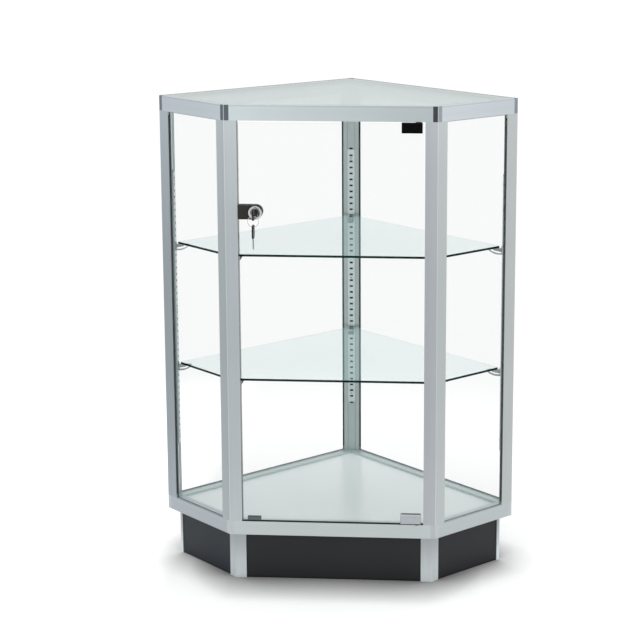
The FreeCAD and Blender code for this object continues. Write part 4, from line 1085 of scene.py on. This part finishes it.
def floorGlow(finish, across):
    # white paper's glow as seen and as mirrored, fading far off, with painted light to the left of
    # the case that thins the shadow there
    seen = finish.add("ShaderNodeLightPath", output="Is Camera Ray")
    shine = finish.add("ShaderNodeLightPath", output="Is Glossy Ray")
    settings = {"operation": "LENGTH"}
    away = finish.add("ShaderNodeVectorMath", settings, {0: finish.place()}, "Value")
    far = ((away - studio["farFrom"]) * (1 / studio["farFade"])).clamped()
    leftEnd = halfSpan - studio["leftFrom"]
    beside = ((across + leftEnd) * (-1 / studio["leftFade"])).clamped()
    lift = studio["floorLift"] + beside * studio["leftPaintedLight"]
    return (lift - far * (lift - studio["farLift"])) * seen + shine * studio["floorLift"]


def floorContact(finish, across):
    # the shadow gathered round the base, which changes from the left side to the right
    fade = 1 / studio["fade"]
    ahead = ((studio["frontHalf"] - abs(across)) * fade).clamped()
    leftward = ((across + frontHalf) * -fade).clamped()
    rightward = ((across - halfSpan) * fade).clamped()
    ends = ((across * (1 / frontHalf)) ** studio["endCurve"]).clamped() * ahead
    reach = studio["contactReach"] + ahead * studio["frontReach"]
    power = studio["contactPower"] + ends * studio["endPower"]
    power = power - leftward * studio["leftPower"] - rightward * studio["rightPower"]
    gathered = finish.add("ShaderNodeAmbientOcclusion", {}, {"Distance": reach}, "AO")
    return gathered ** power


def makeFloor():
    form = bmesh.new()
    bmesh.ops.create_grid(form, x_segments=1, y_segments=1, size=studio["floorSize"])
    floor = bpy.data.objects.new("studioFloor", meshFrom(form, "studioFloor"))
    bpy.context.scene.collection.objects.link(floor)
    finish = Finish("studioPaper")
    across = finish.along(finish.place(), (1, 0, 0))
    contact = floorContact(finish, across)
    grain = finish.noise(studio["floorGrain"])
    tones = [[studio["floorColour"] + more] * 3 for more in (0, studio["floorSpread"])]
    paper = finish.surface({
        "Base Color": finish.mixColour(contact, (0, 0, 0), finish.mixColour(grain, *tones)),
        "Roughness": studio["floorRough"],
        "Specular IOR Level": 0.0,
        "Emission Color": finish.mixColour(floorGlow(finish, across) * contact, (0, 0, 0),
                                           (1, 1, 1)),
        "Emission Strength": 1.0,
    })
    floor.data.materials.append(paper)


def makeSky():
    # white wherever it is seen, mirrored or seen through, and softer as a light
    sky = bpy.data.worlds.new("studioSky")
    bpy.context.scene.world = sky
    finish = Finish("studioSky", sky)
    rays = [finish.add("ShaderNodeLightPath", output="Is " + kind + " Ray")
            for kind in ("Camera", "Glossy", "Transmission")]
    white = (rays[0] + rays[1] + rays[2]).clamped()
    limits = {"Value": white, "To Min": studio["skyStrength"]}
    strength = finish.add("ShaderNodeMapRange", {}, limits)
    light = finish.add("ShaderNodeBackground", {}, {"Color": (1, 1, 1), "Strength": strength})
    finish.add("ShaderNodeOutputWorld", {}, {"Surface": light})


def makeSun():
    lamp = bpy.data.lights.new("softSun", "SUN")
    lamp.energy = studio["sunStrength"]
    lamp.angle = math.radians(studio["sunAngle"])
    sun = bpy.data.objects.new("softSun", lamp)
    bpy.context.scene.collection.objects.link(sun)
    sun.rotation_mode = "QUATERNION"
    sun.rotation_quaternion = Vector(studio["sunFrom"]).to_track_quat("Z", "Y")


view = {
    "place": (0.31989, -3.70086, 1.38166),
    "yaw": -0.0650,
    "pitch": 0.2027,
    "roll": 0.0007,
    "shift": (-0.0939, -0.0939),
    "focalPixels": 1828.6,
    "imageWide": 639,
    "sensor": 36.0,
}


def makeCamera():
    camera = bpy.data.cameras.new("camera")
    camera.sensor_width = view["sensor"]
    camera.lens = view["focalPixels"] / view["imageWide"] * view["sensor"]
    camera.shift_x, camera.shift_y = view["shift"]
    holder = bpy.data.objects.new("camera", camera)
    bpy.context.scene.collection.objects.link(holder)
    yaw, pitch, roll = view["yaw"], view["pitch"], view["roll"]
    ahead = Vector((math.sin(yaw) * math.cos(pitch), math.cos(yaw) * math.cos(pitch),
                    -math.sin(pitch)))
    level = Vector((math.cos(yaw), -math.sin(yaw), 0))
    over = level.cross(ahead)
    right = level * math.cos(roll) + over * math.sin(roll)
    up = over * math.cos(roll) - level * math.sin(roll)
    turn = Matrix((right, up, -ahead)).transposed().to_4x4()
    holder.matrix_world = Matrix.Translation(view["place"]) @ turn
    bpy.context.scene.camera = holder


makeFloor()
makeSky()
makeSun()
makeCamera()
bpy.context.scene.view_settings.view_transform = "Standard"
print("studio done")
